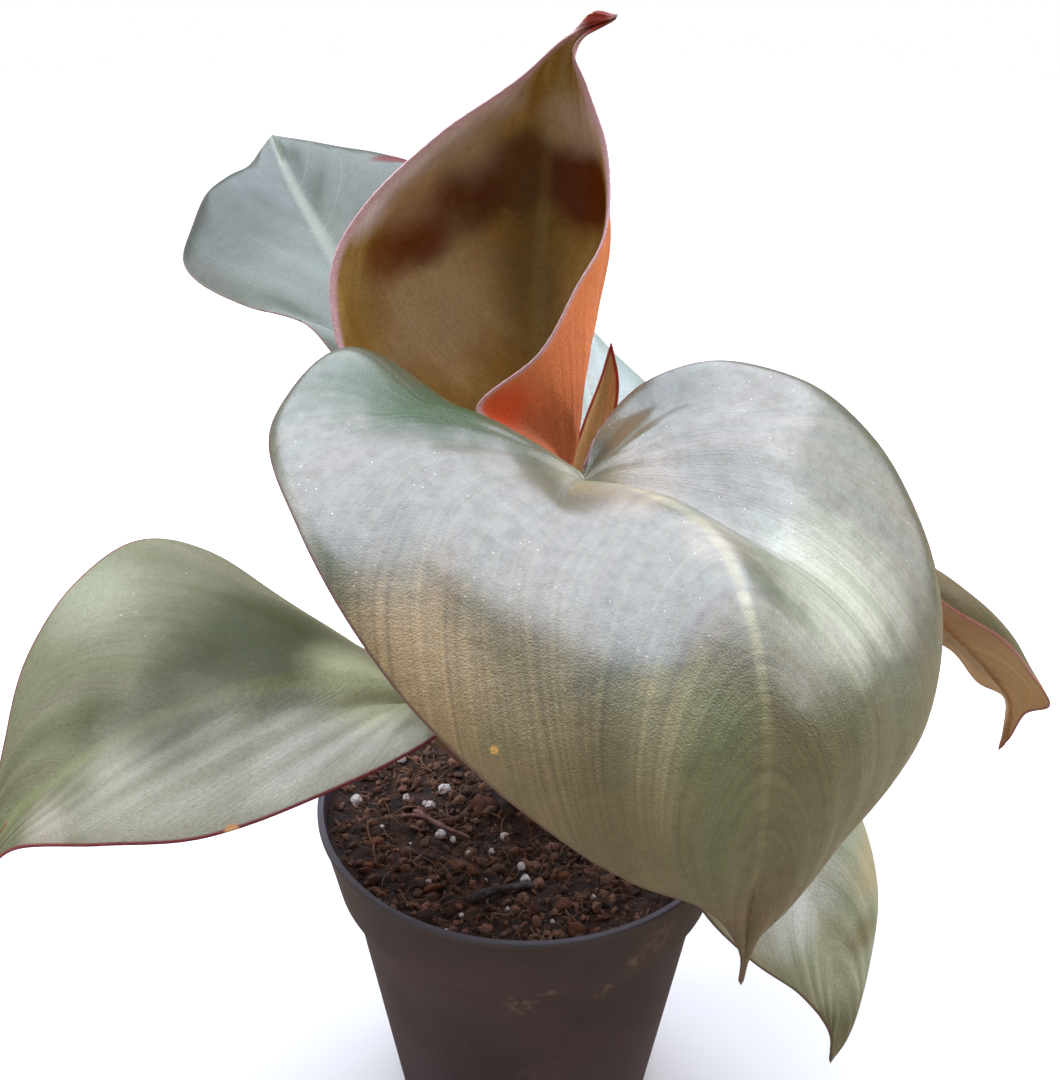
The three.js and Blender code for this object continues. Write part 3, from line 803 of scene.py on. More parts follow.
rightLeaf = {
    "name": "right",
    "slot": "blade_red_brown",
    "rows": 120,
    "columns": 44,
    "fan": 0.4,
    "midrib": [[76, 24, 143], [91, 34, 128], [109, 45, 108], [126, 54, 88], [135, 58, 74],
               [134, 58, 59]],
    "left": [[75, 20, 146], [69, 9, 158], [77, 3, 158], [93, 5, 141], [112, 14, 125],
             [126, 27, 107], [139, 42, 86], [137, 52, 76], [136, 57, 64]],
    "right": [[75, 28, 139], [75, 40, 133], [85, 56, 114], [105, 68, 94], [122, 75, 81],
              [130, 73, 72], [136, 67, 71], [135, 60, 65]],
    "leftBow": [[0, 0, 0], [8, -4, 8], [10, -6, 10], [4, 0, 4], [0, 0, 0]],
    "rightBow": [[0, 0, 0], [4, 4, 6], [6, 4, 6], [2, 0, 2], [0, 0, 0]],
    "swapped": True,
    "root": {"azimuth": 12, "height": 93},
    "stalk": [[28, 13, 112], [56, 20, 132]],
    "stalkRadii": [2.5, 1.7],
    "veinCount": 9,
    "pleat": 0.1,
    "look": greyGreen | {
        "upper": tone(84, 90, 56),
        "upperTint": tone(104, 88, 58),
        "upperVein": tone(150, 140, 104),
        "under": tone(216, 176, 126),
        "underTint": tone(200, 154, 118),
        "underVein": tone(170, 112, 74),
        "margin": tone(176, 112, 108),
        "streakStrength": 0.35,
        "specular": 0.4,
        "coat": 0.1,
    },
    "patches": [
        spot((112, 32, 112), 14, 0.45, (176, 104, 60), face="under"),
        spot((122, 62, 90), 16, 0.6, (104, 58, 44), face="under"),
    ],
}

backLeaf = {
    "name": "back",
    "slot": "blade_blue_green",
    "rows": 90,
    "columns": 36,
    "fan": 0.4,
    "midrib": [[17, 38, 161], [16, 54, 165], [13, 74, 170], [9, 94, 174], [5, 110, 176]],
    "left": [[16, 37, 160], [12, 32, 160], [1, 38, 164], [-5, 54, 170], [-5, 72, 173],
             [-2, 90, 176], [2, 102, 176]],
    "right": [[19, 37, 160], [24, 34, 159], [33, 42, 163], [34, 54, 165], [30, 66, 167],
              [22, 82, 169], [13, 97, 173]],
    "leftBow": [[0, 0, 0], [0, 0, 6], [0, 0, 6], [0, 0, 0]],
    "rightBow": [[0, 0, 0], [0, 0, 6], [0, 0, 6], [0, 0, 0]],
    "root": {"azimuth": 72, "height": 96},
    "stalk": [[8, 21, 115], [13, 31, 140]],
    "stalkRadii": [2.4, 1.6],
    "veinCount": 8,
    "pleat": 0.1,
    "look": greyGreen | {
        "upper": tone(150, 164, 156),
        "upperTint": tone(142, 156, 150),
        "upperVein": tone(196, 202, 192),
        "margin": tone(150, 150, 138),
        "streakStrength": 0.15,
        "specular": 0.5,
        "coat": 0.3,
    },
}


def halfBlade(leaf, margin, bows, along, across):
    # Row by row a quadratic curve from midrib to margin, whose middle is the straight line's
    # plus the bow. The margin point runs evenly from notch to tip. The midrib point waits at
    # the stalk for the share called fan.
    share = np.clip((along - leaf["fan"]) / (1 - leaf["fan"]), 0, 1) ** 1.1
    start = evenAt(leaf["midrib"], share)[:, None]
    end = evenAt(margin + [leaf["midrib"][-1]], along)[:, None]
    middle = (start + end) / 2 + splineAt(bows, along, power=0)[:, None]
    a = across[None, :, None]
    return (1 - a) ** 2 * start + 2 * a * (1 - a) * middle + a**2 * end


def softened(half, along, across, reach):
    # Columns blurred along the blade by a bell, least at midrib, margin, notch and tip.
    weights = bell(along[:, None], along[None], reach)
    weights = weights / weights.sum(axis=1, keepdims=True)
    blurred = np.einsum("rs,scd->rcd", weights, half)
    share = (ease(across, 0.02, 0.25) * (1 - ease(across, 0.7, 1)))[None]
    share = share * (ease(along, 0, 0.05) * (1 - ease(along, 0.45, 0.8)))[:, None]
    return half + (blurred - half) * share[..., None]


def rounded(halves, along, start, reach):
    # Every row from margin to margin, blurred over its arc length by a bell, most at the
    # midrib, none in the fan, at the margins and at the tip.
    rows = np.concatenate([halves[0][:, :0:-1], halves[1]], axis=1)
    steps = np.linalg.norm(np.diff(rows, axis=1), axis=2)
    length = np.concatenate([np.zeros((len(rows), 1)), np.cumsum(steps, axis=1)], axis=1)
    weights = bell(length[:, :, None], length[:, None], reach)
    weights = weights * (np.gradient(length, axis=1)[:, None] + 1e-6)
    weights = weights / weights.sum(axis=2, keepdims=True)
    blurred = np.einsum("rij,rjc->ric", weights, rows)
    middle = halves[0].shape[1] - 1
    share = bell(length - length[:, middle:middle + 1], 0, 2.5 * reach)
    share = share * ease(np.minimum(length, length[:, -1:] - length), 0, 2 * reach)
    share = share * (ease(along, start, start + 0.12) * (1 - ease(along, 0.85, 0.97)))[:, None]
    rows = rows + (blurred - rows) * share[..., None]
    return np.stack([rows[:, middle::-1], rows[:, middle:]])


def nearest(points, track):
    # Distance from every point to the closest point of a track.
    gap = np.full(len(points), 1e9)
    for start in range(0, len(points), 4000):
        part = points[start:start + 4000]
        gap[start:start + 4000] = np.linalg.norm(part[:, None] - track[None], axis=2).min(axis=1)
    return gap


def sheetFaces(ids):
    # The first half turns over, because its columns run the other way from the midrib.
    return np.concatenate([quads(ids[0], True), quads(ids[1])])


def bladeSheet(leaf):
    # Both halves as one sheet. Midrib points are shared, the fan's start is one point and so
    # is the tip. Columns crowd towards midrib and margin: t - 0.7 sin(2 pi t) / (2 pi).
    rows, columns = leaf["rows"], leaf["columns"]
    along = np.linspace(0, 1, rows)
    even = np.linspace(0, 1, columns)
    across = even - 0.7 * np.sin(2 * np.pi * even) / (2 * np.pi)
    halves = np.stack([halfBlade(leaf, leaf[margin], leaf[margin + "Bow"], along, across)
                       for margin in ("left", "right")])
    if "blur" in leaf:
        halves = np.stack([softened(half, along, across, leaf["blur"]) for half in halves])
    if "round" in leaf:
        halves = rounded(halves, along, leaf["fan"], leaf["round"])
    ids = np.arange(2 * rows * columns).reshape(2, rows, columns)
    corners = sheetFaces(ids)
    ids[1, :, 0] = ids[0, :, 0]
    ids[:, along <= leaf["fan"], 0] = ids[0, 0, 0]
    ids[:, -1, :] = ids[0, -1, 0]
    faces = sheetFaces(ids)
    real = (faces != np.roll(faces, 1, axis=1)).all(axis=1)
    faces, corners = faces[real], corners[real]
    if leaf.get("swapped"):  # the left list is on the leaf's right, so the faces turn over
        faces, corners = faces[:, [0, 2, 1]], corners[:, [0, 2, 1]]
    used = np.unique(faces)
    # the vein coordinate v solves along = v + bend across^2 (v - v^2)
    bend = bladeShape["veinBend"] * across[None, :] ** 2
    way = np.repeat(along[:, None], columns, axis=1)
    vein = 2 * way / (1 + bend + np.sqrt((1 + bend) ** 2 - 4 * bend * way))
    signed = across * np.array([-1, 1])[:, None, None]
    signed, way, vein = [np.broadcast_to(field, ids.shape).ravel() for field in (signed, way, vein)]
    grid = np.stack([0.5 + signed / 2, vein], -1)
    if leaf.get("lengthwise"):  # parallel veins from foot to tip
        grid = grid[:, ::-1]
    spread = np.stack([signed, way, vein], -1)[used]
    return halves.reshape(-1, 3)[used], np.searchsorted(used, faces), grid[corners], spread


def bladeRelief(leaf, points, faces, spread, heartGap, marginGap):
    # Lift along the normal: soft pleats that follow the veins, slow waves, and a margin that
    # curls back with the square of its nearness.
    shape = bladeShape
    signed, along, vein = spread.T
    across = np.abs(signed)
    calm = ease(heartGap, 4, 22) * np.sin(np.pi * np.clip(across, 0, 1)) ** 0.7
    pleats = np.cos(2 * np.pi * (vein * leaf["veinCount"] + 0.25 * np.sin(9 * vein)))
    lift = leaf["pleat"] * pleats * calm
    waves = shape["waveHeight"] * roughNoise(points, shape["waveSize"], 2, 5)
    lift = lift + waves * ease(heartGap, 2, 20)
    near = 1 - np.clip(marginGap / shape["curlReach"], 0, 1)
    curl = leaf.get("curl", shape["curl"]) * near**2
    lift = lift - curl * ease(heartGap, 2, 15) * (1 - ease(along, 0.8, 0.93))
    return points + pointNormals(points, faces) * lift[:, None]


def thickened(points, faces, above, below, steps):
    # The sheet twice, offset above and below along its normals, joined by a rounded rim of
    # rings at the angles pi k / steps. Side falls from 1 on the upper face to 0 on the lower.
    count = len(points)
    normals = pointNormals(points, faces)
    edges = np.concatenate([faces[:, [0, 1]], faces[:, [1, 2]], faces[:, [2, 0]]])
    key = edges[:, 0] * count + edges[:, 1]
    free = edges[~np.isin(key, edges[:, 1] * count + edges[:, 0])]
    outward = np.zeros_like(points)
    push = np.cross(points[free[:, 1]] - points[free[:, 0]], normals[free[:, 0]])
    for end in (0, 1):
        np.add.at(outward, free[:, end], push)
    outward = unit(outward)
    rim = np.unique(free)
    half = ((above + below) / 2)[:, None]
    centre = points + normals * ((above - below) / 2)[:, None]
    stack = [points + normals * above[:, None], points - normals * below[:, None]]
    sides = [np.ones(count), np.zeros(count)]
    owners = [np.arange(count), np.arange(count)]
    loops = [rim]
    for step in range(1, steps):
        angle = np.pi * step / steps
        ring = centre + half * (normals * np.cos(angle) + outward * np.sin(angle))
        loops.append(2 * count + (step - 1) * len(rim) + np.arange(len(rim)))
        stack.append(ring[rim])
        sides.append(np.full(len(rim), 0.5 + 0.5 * np.cos(angle)))
        owners.append(rim)
    loops.append(rim + count)
    start, end = np.searchsorted(rim, free[:, 0]), np.searchsorted(rim, free[:, 1])
    wall = []
    for near, far in zip(loops[:-1], loops[1:]):
        wall.append(np.stack([near[start], far[start], far[end]], -1))
        wall.append(np.stack([near[start], far[end], near[end]], -1))
    allFaces = np.concatenate([faces, faces[:, [0, 2, 1]] + count] + wall)
    return np.concatenate(stack), allFaces, np.concatenate(sides), np.concatenate(owners)


def paintPatches(tree, patches, place, ragged, faces, colour, gloss):
    # Each patch fades out from its core to its radius, with an uneven edge. The coat is
    # multiplied by 1 + share (gloss - 1), up to a coat of 1.
    for patch in patches:
        gap = addNode(tree, "VectorMath", {0: place, 1: [v * mm for v in patch["at"]]},
                      operation="SUBTRACT").outputs["Vector"]
        gap = stretched(tree, gap, patch.get("squash", (1, 1, 1)))
        offset = addNode(tree, "VectorMath", {0: gap}, operation="LENGTH").outputs["Value"]
        edge = patch["radius"] * mm
        offset = plus(tree, offset, times(tree, ragged, edge))
        share = mapped(tree, offset, edge, edge * patch.get("core", 0.2), 0.0, patch["share"])
        share = times(tree, share, faces[patch.get("face", "upper")])
        if "colour" in patch:
            colour = mixColour(tree, share, colour, patch["colour"])
        if "gloss" in patch:
            change = plus(tree, 1.0, times(tree, share, patch["gloss"] - 1))
            gloss = times(tree, gloss, change, True)
    return colour, gloss


def makeLeafMaterial(leaf):
    look = leaf["look"]
    material, tree, shader = newMaterial("leaf_" + leaf["name"])
    place = objectPlace(tree)
    grid = addNode(tree, "UVMap", uv_map="grid").outputs["UV"]
    fields = {name: attribute(tree, name) for name in bladeFields}
    values = look | {"veinCount": leaf["veinCount"]}
    skin = useGroup(tree, leafSkin, {"place": place, "grid": grid} | fields
                    | {name: values[name] for name in skinColours + skinValues})
    colour, gloss = skin["Color"], skin["Coat"]
    upperFace = mapped(tree, fields["side"], 0.35, 0.65)
    faces = {"upper": upperFace, "under": minus(tree, 1.0, upperFace), "both": 1.0}
    if "cloud" in look:
        # long soft clouds of a second colour on the upper face
        cloud = look["cloud"]
        clouds = noise(tree, stretched(tree, place, cloud["squash"]), cloud["scale"], 3.0, 0.6)
        share = times(tree, mapped(tree, clouds, 0.42, 0.62, 0.0, cloud["share"]), upperFace)
        colour = mixColour(tree, share, colour, cloud["colour"])
    ragged = minus(tree, noise(tree, place, look["raggedScale"], 3.0, 0.6), 0.5)
    ragged = times(tree, ragged, look["ragged"])
    patches = leaf.get("patches", [])
    under = [patch for patch in patches if "over" not in patch]
    over = [patch for patch in patches if "over" in patch]
    colour, gloss = paintPatches(tree, under, place, ragged, faces, colour, gloss)
    if over:
        colour = mixColour(tree, skin["Edge"], colour, look["margin"])
        colour, gloss = paintPatches(tree, over, place, ragged, faces, colour, gloss)
    ribShare = times(tree, times(tree, skin["Rib"], 0.22), upperFace)
    colour = mixColour(tree, ribShare, colour, look["upperVein"])
    if not over:
        colour = mixColour(tree, skin["Edge"], colour, look["margin"])
    flat = addNode(tree, "CombineColor", {k: skin["Shade"] for k in range(3)}).outputs[0]
    colour = mixColour(tree, 1.0, colour, flat, "MULTIPLY")
    finish(tree, shader, colour, skin["Roughness"], skin["Height"], look["bump"], 1)
    feed(tree, shader.inputs["Coat Weight"], gloss)
    shader.inputs["Specular IOR Level"].default_value = look["specular"]
    shader.inputs["Coat Roughness"].default_value = look["coatRoughness"]
    shader.inputs["Coat IOR"].default_value = look["coatIor"]
    return material


def addBlade(leaf):
    # The sheet with its relief, thickened. The groove along the midrib is a bell in the upper
    # face, the keel a bell under it, and both shrink with the distance from the stalk.
    shape = bladeShape
    points, faces, grid, spread = bladeSheet(leaf)
    track = np.linspace(0, 1, shape["trackPoints"])
    tip = leaf["midrib"][-1]
    margin = np.concatenate([evenAt(leaf[side] + [tip], track) for side in ("left", "right")])
    marginGap = nearest(points, margin)
    ribGap = nearest(points, evenAt(points[spread[:, 0] == 0], track))
    heartGap = np.linalg.norm(points - np.array(leaf["midrib"][0]), axis=1)
    points = bladeRelief(leaf, points, faces, spread, heartGap, marginGap)
    size = ease(-heartGap, -shape["shrinkLength"], 0)
    width = shape["tipWidth"] + (1 - shape["tipWidth"]) * size
    height = shape["tipKeel"] + (1 - shape["tipKeel"]) * size
    half = shape["thickness"] / 2 * (1 - shape["thinning"] * bell(marginGap, 0, 2))
    groove = leaf.get("groove", shape["groove"]) * bell(ribGap, 0, shape["grooveWidth"]) * width
    keel = shape["keel"] * height * bell(ribGap, 0, shape["keelWidth"] * width)
    veins = np.cos(2 * np.pi * spread[:, 2] * leaf["veinCount"]) ** 16
    keel = keel + shape["sideVeins"] * veins * ease(marginGap, 2, 12)
    inside = ease(marginGap, 0, 1.5)
    points, allFaces, side, owner = thickened(points, faces, half - groove * inside,
                                              half + keel * inside, shape["rimSteps"])
    count = len(faces)
    ownGrid = np.zeros((len(heartGap), 2))
    ownGrid[faces.ravel()] = grid.reshape(-1, 2)
    corner = np.concatenate([grid, grid[:, [0, 2, 1]], ownGrid[owner[allFaces[2 * count:]]]])
    fields = {"side": side, "marginGap": marginGap[owner], "ribGap": ribGap[owner],
              "heartGap": heartGap[owner]}
    addPiece(leaf.get("piece", "leafBlade_" + leaf["name"]), points, allFaces, makeLeafMaterial(leaf),
             leaf.get("node", "blade_" + leaf["name"]), fields, corner)


allLeaves = [frontLeaf, youngLeaf, upperLeftLeaf, leftLeaf, lowerRightLeaf, rightLeaf, backLeaf]
for leaf in allLeaves:
    addBlade(leaf)
    print("blade", leaf["name"])


# Sheath of the newest leaf

sheath = {
    "name": "sheath",
    "piece": "leafSheath",
    "node": "sheath",
    "slot": "sheath_orange",
    "rows": 90,
    "columns": 24,
    "fan": 0,
    "midrib": [[3, 8.4, 104.7], [8, 18, 130], [13, 27, 160], [17, 30, 180], [18, 29, 193]],
    "left": [[-1, 7.4, 104.7], [3, 15, 130], [7, 21, 155], [12, 25, 174], [16, 28, 186]],
    "right": [[6, 6, 104.7], [13, 12, 130], [17, 20, 155], [19, 26, 174], [20, 28, 184]],
    "leftBow": [[0, 0, 0], [-2, 4, 0], [-1, 3, 0], [0, 0, 0]],
    "rightBow": [[0, 0, 0], [2, 4, 0], [1, 3, 0], [0, 0, 0]],
    "veinCount": 9,
    "pleat": 0.1,
    "lengthwise": True,
    "look": greyGreen | {
        "upper": tone(255, 220, 160),
        "upperTint": tone(246, 198, 132),
        "upperVein": tone(255, 228, 176),
        "under": tone(212, 148, 90),
        "underTint": tone(192, 128, 72),
        "underVein": tone(224, 168, 112),
        "margin": tone(168, 52, 34),
        "marginWidth": 0.9,
        "ribWidth": 0.6,
        "heartSize": 6.0,
        "veinStrength": 0.3,
        "streakStrength": 0.3,
        "speckShare": 0.0,
        "coat": 0.2,
    },
}
addBlade(sheath)
print("sheath")


# Stem and stalks

soil = {
    "level": 84.5,
    "relief": 0.9,
    "mound": 1.6,
    "wallGap": 0.4,
    "litterGap": 3.2,  # from the rim's outside to the outermost grains
    "stemGap": 3.0,
    "lumpHeight": 0.9,
    "lumpSize": 4.2,
}

stem = {
    "centre": (2, 4),
    "foot": 48,
    "top": 104,
    "footRadius": 2,
    "radius": 7,
    "topRadius": 5.4,
    "rings": [88.5, 92.5, 96, 99.5],  # heights of the leaf scars
    "sides": 72,
    "capHeight": 1.2,
    "scarDepth": 0.35,
    "scarWidth": 0.45,
    "fibreScale": 900.0,  # noise scales are per metre
    "blotchScale": 220.0,
    "skin": tone(112, 100, 62),
    "blotch": tone(88, 66, 44),
    "fibre": tone(150, 118, 80),
    "scar": tone(78, 46, 30),
}


def stemRadius(z):
    # Grows with the 0.7th power of the buried height, then narrows evenly to the top.
    z = np.asarray(z, float)
    buried = np.clip((z - stem["foot"]) / (soil["level"] - stem["foot"]), 0, 1)
    below = stem["footRadius"] + (stem["radius"] - stem["footRadius"]) * buried**0.7
    share = (z - soil["level"]) / (stem["top"] - soil["level"])
    above = stem["radius"] + (stem["topRadius"] - stem["radius"]) * share
    return np.where(buried < 1, below, above)


def makeStemMaterial():
    material, tree, shader = newMaterial("stemSkin")
    place = objectPlace(tree)
    fibre = noise(tree, stretched(tree, place, (1, 1, 0.12)), stem["fibreScale"], 3.0)
    blotch = noise(tree, place, stem["blotchScale"], 3.0)
    colour = layered(tree, stem["skin"], (mapped(tree, blotch, 0.38, 0.62), stem["blotch"]),
                     (mapped(tree, fibre, 0.45, 0.7, 0.0, 0.5), stem["fibre"]),
                     (times(tree, attribute(tree, "scar"), 0.75), stem["scar"]))
    finish(tree, shader, colour, mapped(tree, fibre, 0.3, 0.7, 0.5, 0.75), fibre, 0.5, 0.6)
    return material


def addStem():
    # The radius over height turned about the stem's axis, with a raised scar at each leaf's
    # foot, slightly oblique, and fine lengthwise ribs above the soil. The cap is rounded.
    shoulder = stem["top"] - stem["capHeight"]
    cap = np.linspace(0, np.pi / 2, 7)[1:-1]
    z = np.concatenate([np.linspace(stem["foot"], 80, 24), np.linspace(81, shoulder, 80),
                        shoulder + stem["capHeight"] * np.sin(cap)])
    radius = stemRadius(np.minimum(z, shoulder))
    radius[-len(cap):] *= 0.35 + 0.65 * np.cos(cap)
    angle = fullTurn(stem["sides"])
    tilt = z[:, None] + 0.9 * np.cos(angle[None] + z[:, None] / 3)
    scar = sum(bell(tilt, ring, stem["scarWidth"]) for ring in stem["rings"])
    ribs = 0.12 * np.cos(11 * angle)[None] + 0.08 * np.cos(23 * angle + 1)[None]
    full = radius[:, None] + (stem["scarDepth"] * scar + ribs * ease(z, 84, 88)[:, None])
    points, faces = closedTube(turnedRings(full, z[:, None], stem["sides"], stem["centre"]))
    fields = {"scar": np.concatenate([scar.ravel(), [0, 0]])}
    addPiece("plantStem", points, faces, makeStemMaterial(), "stem", fields)


addStem()

stalkLook = {
    "sides": 28,
    "rings": 90,
    "channel": 0.16,  # depth of the groove along the upper side, as a share of the radius
    "tintScale": 70.0,
    "speckScale": 900.0,
    "skin": tone(150, 112, 112),
    "tint": tone(126, 118, 84),
    "foot": tone(170, 116, 112),
    "streak": tone(176, 140, 132),
    "speck": tone(196, 164, 150),
    "footSwell": 0.28,  # these are shares of the radius
    "endSwell": 0.13,
}


def makeStalkMaterial():
    material, tree, shader = newMaterial("stalkSkin")
    place = objectPlace(tree)
    grid = addNode(tree, "UVMap", uv_map="grid").outputs["UV"]
    lanes = noise(tree, stretched(tree, grid, (26, 3, 1)), 1.0, 3.0, 0.6)
    specks = useGroup(tree, speckles, {"Place": place, "Scale": stalkLook["speckScale"],
                                       "Share": 0.16, "Size": 0.16})
    clouds = mapped(tree, noise(tree, place, stalkLook["tintScale"], 2.0), 0.4, 0.62)
    colour = layered(tree, stalkLook["skin"], (clouds, stalkLook["tint"]),
                     (mapped(tree, attribute(tree, "share"), 0.35, 0.0, 0.0, 0.8), stalkLook["foot"]),
                     (mapped(tree, lanes, 0.45, 0.75, 0.0, 0.6), stalkLook["streak"]),
                     (times(tree, specks["Mask"], 0.5), stalkLook["speck"]))
    finish(tree, shader, colour, mapped(tree, lanes, 0.3, 0.7, 0.36, 0.52), lanes, 0.25, 0.4)
    shader.inputs["Coat Weight"].default_value = 0.2
    return material


def rootPoint(root, radius):
    # Where the round foot rests: on the stem's top, or on its side at an azimuth and height.
    if "top" in root:
        return [*root["top"], stem["top"] + radius * 0.4]
    angle = math.radians(root["azimuth"])
    reach = float(stemRadius(root["height"])) + radius * 0.5
    return [stem["centre"][0] + reach * math.cos(angle),
            stem["centre"][1] + reach * math.sin(angle), root["height"]]


def addStalk(leaf, material):
    # A tube along the curve. Its radius falls with the 1.5th power of the way, swells at the
    # foot and just under the blade, closes round at both ends, and has a shallow channel on
    # the side towards the stem.
    footRadius, endRadius = leaf["stalkRadii"]
    route = [rootPoint(leaf["root"], footRadius)] + leaf["stalk"] + [leaf["midrib"][0]]
    share = np.linspace(0, 1, stalkLook["rings"])
    centre = evenAt(route, share)
    tangent = unit(np.gradient(centre, axis=0))
    lean = centre[-1] - centre[0]
    flat = unit(np.array([-lean[1], lean[0], 0.0]))
    side = unit(flat - (tangent @ flat)[:, None] * tangent)
    other = np.cross(tangent, side)
    radius = endRadius + (footRadius - endRadius) * (1 - share) ** 1.5
    radius = radius * (1 + stalkLook["footSwell"] * bell(share, 0, 0.05)
                       + stalkLook["endSwell"] * bell(share, 0.94, 0.045))
    radius = radius * np.sqrt(np.clip(share / 0.012, 0.02, 1))
    radius = radius * np.sqrt(np.clip((1 - share) / 0.02, 0.05, 1))
    angle = fullTurn(stalkLook["sides"])
    towards = np.arctan2(np.sin(angle - np.pi / 2), np.cos(angle - np.pi / 2))
    channel = 1 - stalkLook["channel"] * bell(towards, 0, 0.5)[None] * ease(share, 0.02, 0.2)[:, None]
    full = radius[:, None] * channel
    rings = (centre[:, None] + side[:, None] * (full * np.cos(angle))[..., None]
             + other[:, None] * (full * np.sin(angle))[..., None])
    points, faces = closedTube(rings)
    turn = np.concatenate([np.tile(angle / (2 * np.pi), len(share)), [0, 0]])
    way = np.concatenate([np.repeat(share, len(angle)), [0, 1]])
    grid = np.stack([turn, way], -1)[faces]
    # the seam's last corner closes the turn at 1 instead of falling back to 0
    wraps = grid[..., 0].max(axis=1) - grid[..., 0].min(axis=1) > 0.5
    grid[wraps, :, 0] = np.where(grid[wraps, :, 0] < 0.5, grid[wraps, :, 0] + 1, grid[wraps, :, 0])
    name = leaf["name"]
    addPiece("leafStalk_" + name, points, faces, material, "stalk_" + name,
             {"share": way}, grid)


stalkSkin = makeStalkMaterial()
for leaf in allLeaves:
    addStalk(leaf, stalkSkin)
print("stem and stalks")


# Pot

pot = {
    "height": 88,
    "baseRadius": 32.7,
    "shoulderRadius": 43.3,
    "collarRadius": 46,
    "rimRadius": 50,
    "collarHeight": 20,
    "wall": 1,
    "floor": 1.6,
    "lip": 0.6,
    "segments": 180,
    "holes": 8,
    "holeRadius": 3.2,
    "holeRing": 23,
    "holeSides": 28,
}


def roundedProfile(corners, steps=5):
    # Each [radius, height, rounding] corner becomes a quadratic curve between points that lie
    # the rounding away on either side.
    corners = np.asarray(corners, float)
    profile = [corners[:1, :2]]
    t = np.linspace(0, 1, steps)[:, None]
    for before, at, after in zip(corners[:-2], corners[1:-1], corners[2:]):
        start = at[:2] + unit(before[:2] - at[:2]) * at[2]
        end = at[:2] + unit(after[:2] - at[:2]) * at[2]
        profile.append((1 - t) ** 2 * start + 2 * t * (1 - t) * at[:2] + t**2 * end)
    profile.append(corners[-1:, :2])
    return np.concatenate(profile)


def subdivided(profile, longest):
    # Straight stretches longer than the limit get evenly spaced points.
    parts = []
    for start, end in zip(profile[:-1], profile[1:]):
        count = max(1, math.ceil(np.linalg.norm(end - start) / longest))
        parts.append(start + (end - start) * np.linspace(0, 1, count, endpoint=False)[:, None])
    return np.concatenate(parts + [profile[-1:]])


potLook = {
    "dark": tone(69, 54, 69),
    "light": tone(83, 67, 82),
    "rimHighlight": tone(84, 84, 90),  # painted highlight: the top of the rim is lighter and bluish
    "rimHighlightFrom": 86.2,
    "rimHighlightTo": 87.8,
    "cloudScale": 30.0,
    "grainScale": 1600.0,
    "dustScale": 42.0,
    "dustAmount": 0.22,
    "smudgeScale": 520.0,
    "roughness": 0.46,  # the least, to which grain and dust add
    "dust": tone(150, 130, 122),
}

# smudges of soil: place, radius and share
smudges = [
    ((5.7, -44.3, 69.5), 4.0, 0.8),
    ((-1.0, -42.0, 63.0), 6.0, 0.6),
    ((17.8, -38.5, 64.0), 4.5, 0.5),
    ((30.0, -38.0, 78.0), 7.0, 0.5),
    ((24.0, -40.0, 74.0), 4.0, 0.6),
]


def makePotMaterial():
    material, tree, shader = newMaterial("potPlastic")
    place = objectPlace(tree)
    cloud = noise(tree, place, potLook["cloudScale"], 3.0)
    grain = noise(tree, place, potLook["grainScale"], 2.0, 0.7)
    height = addNode(tree, "SeparateXYZ", {"Vector": place}).outputs["Z"]
    # painted highlight round the top of the rim
    rimHighlight = mapped(tree, height, potLook["rimHighlightFrom"] * mm, potLook["rimHighlightTo"] * mm, 0.0, 0.55)
    dusty = useGroup(tree, dust, {"Place": place, "Scale": potLook["dustScale"],
                                  "Amount": potLook["dustAmount"]})["Mask"]
    colour = layered(tree, potLook["dark"], (mapped(tree, cloud, 0.35, 0.65), potLook["light"]),
                     (rimHighlight, potLook["rimHighlight"]), (times(tree, dusty, 0.4), potLook["dust"]))
    broken = mapped(tree, noise(tree, place, potLook["smudgeScale"], 3.0, 0.7), 0.42, 0.62)
    marks = [spot(*smudge, (158, 132, 124), core=0) for smudge in smudges]
    colour = paintPatches(tree, marks, place, 0.0, {"upper": broken}, colour, None)[0]
    rough = plus(tree, potLook["roughness"], times(tree, grain, 0.2))
    rough = plus(tree, rough, times(tree, dusty, 0.25), True)
    finish(tree, shader, colour, rough, plus(tree, grain, cloud), 0.18, 0.3)
    return material


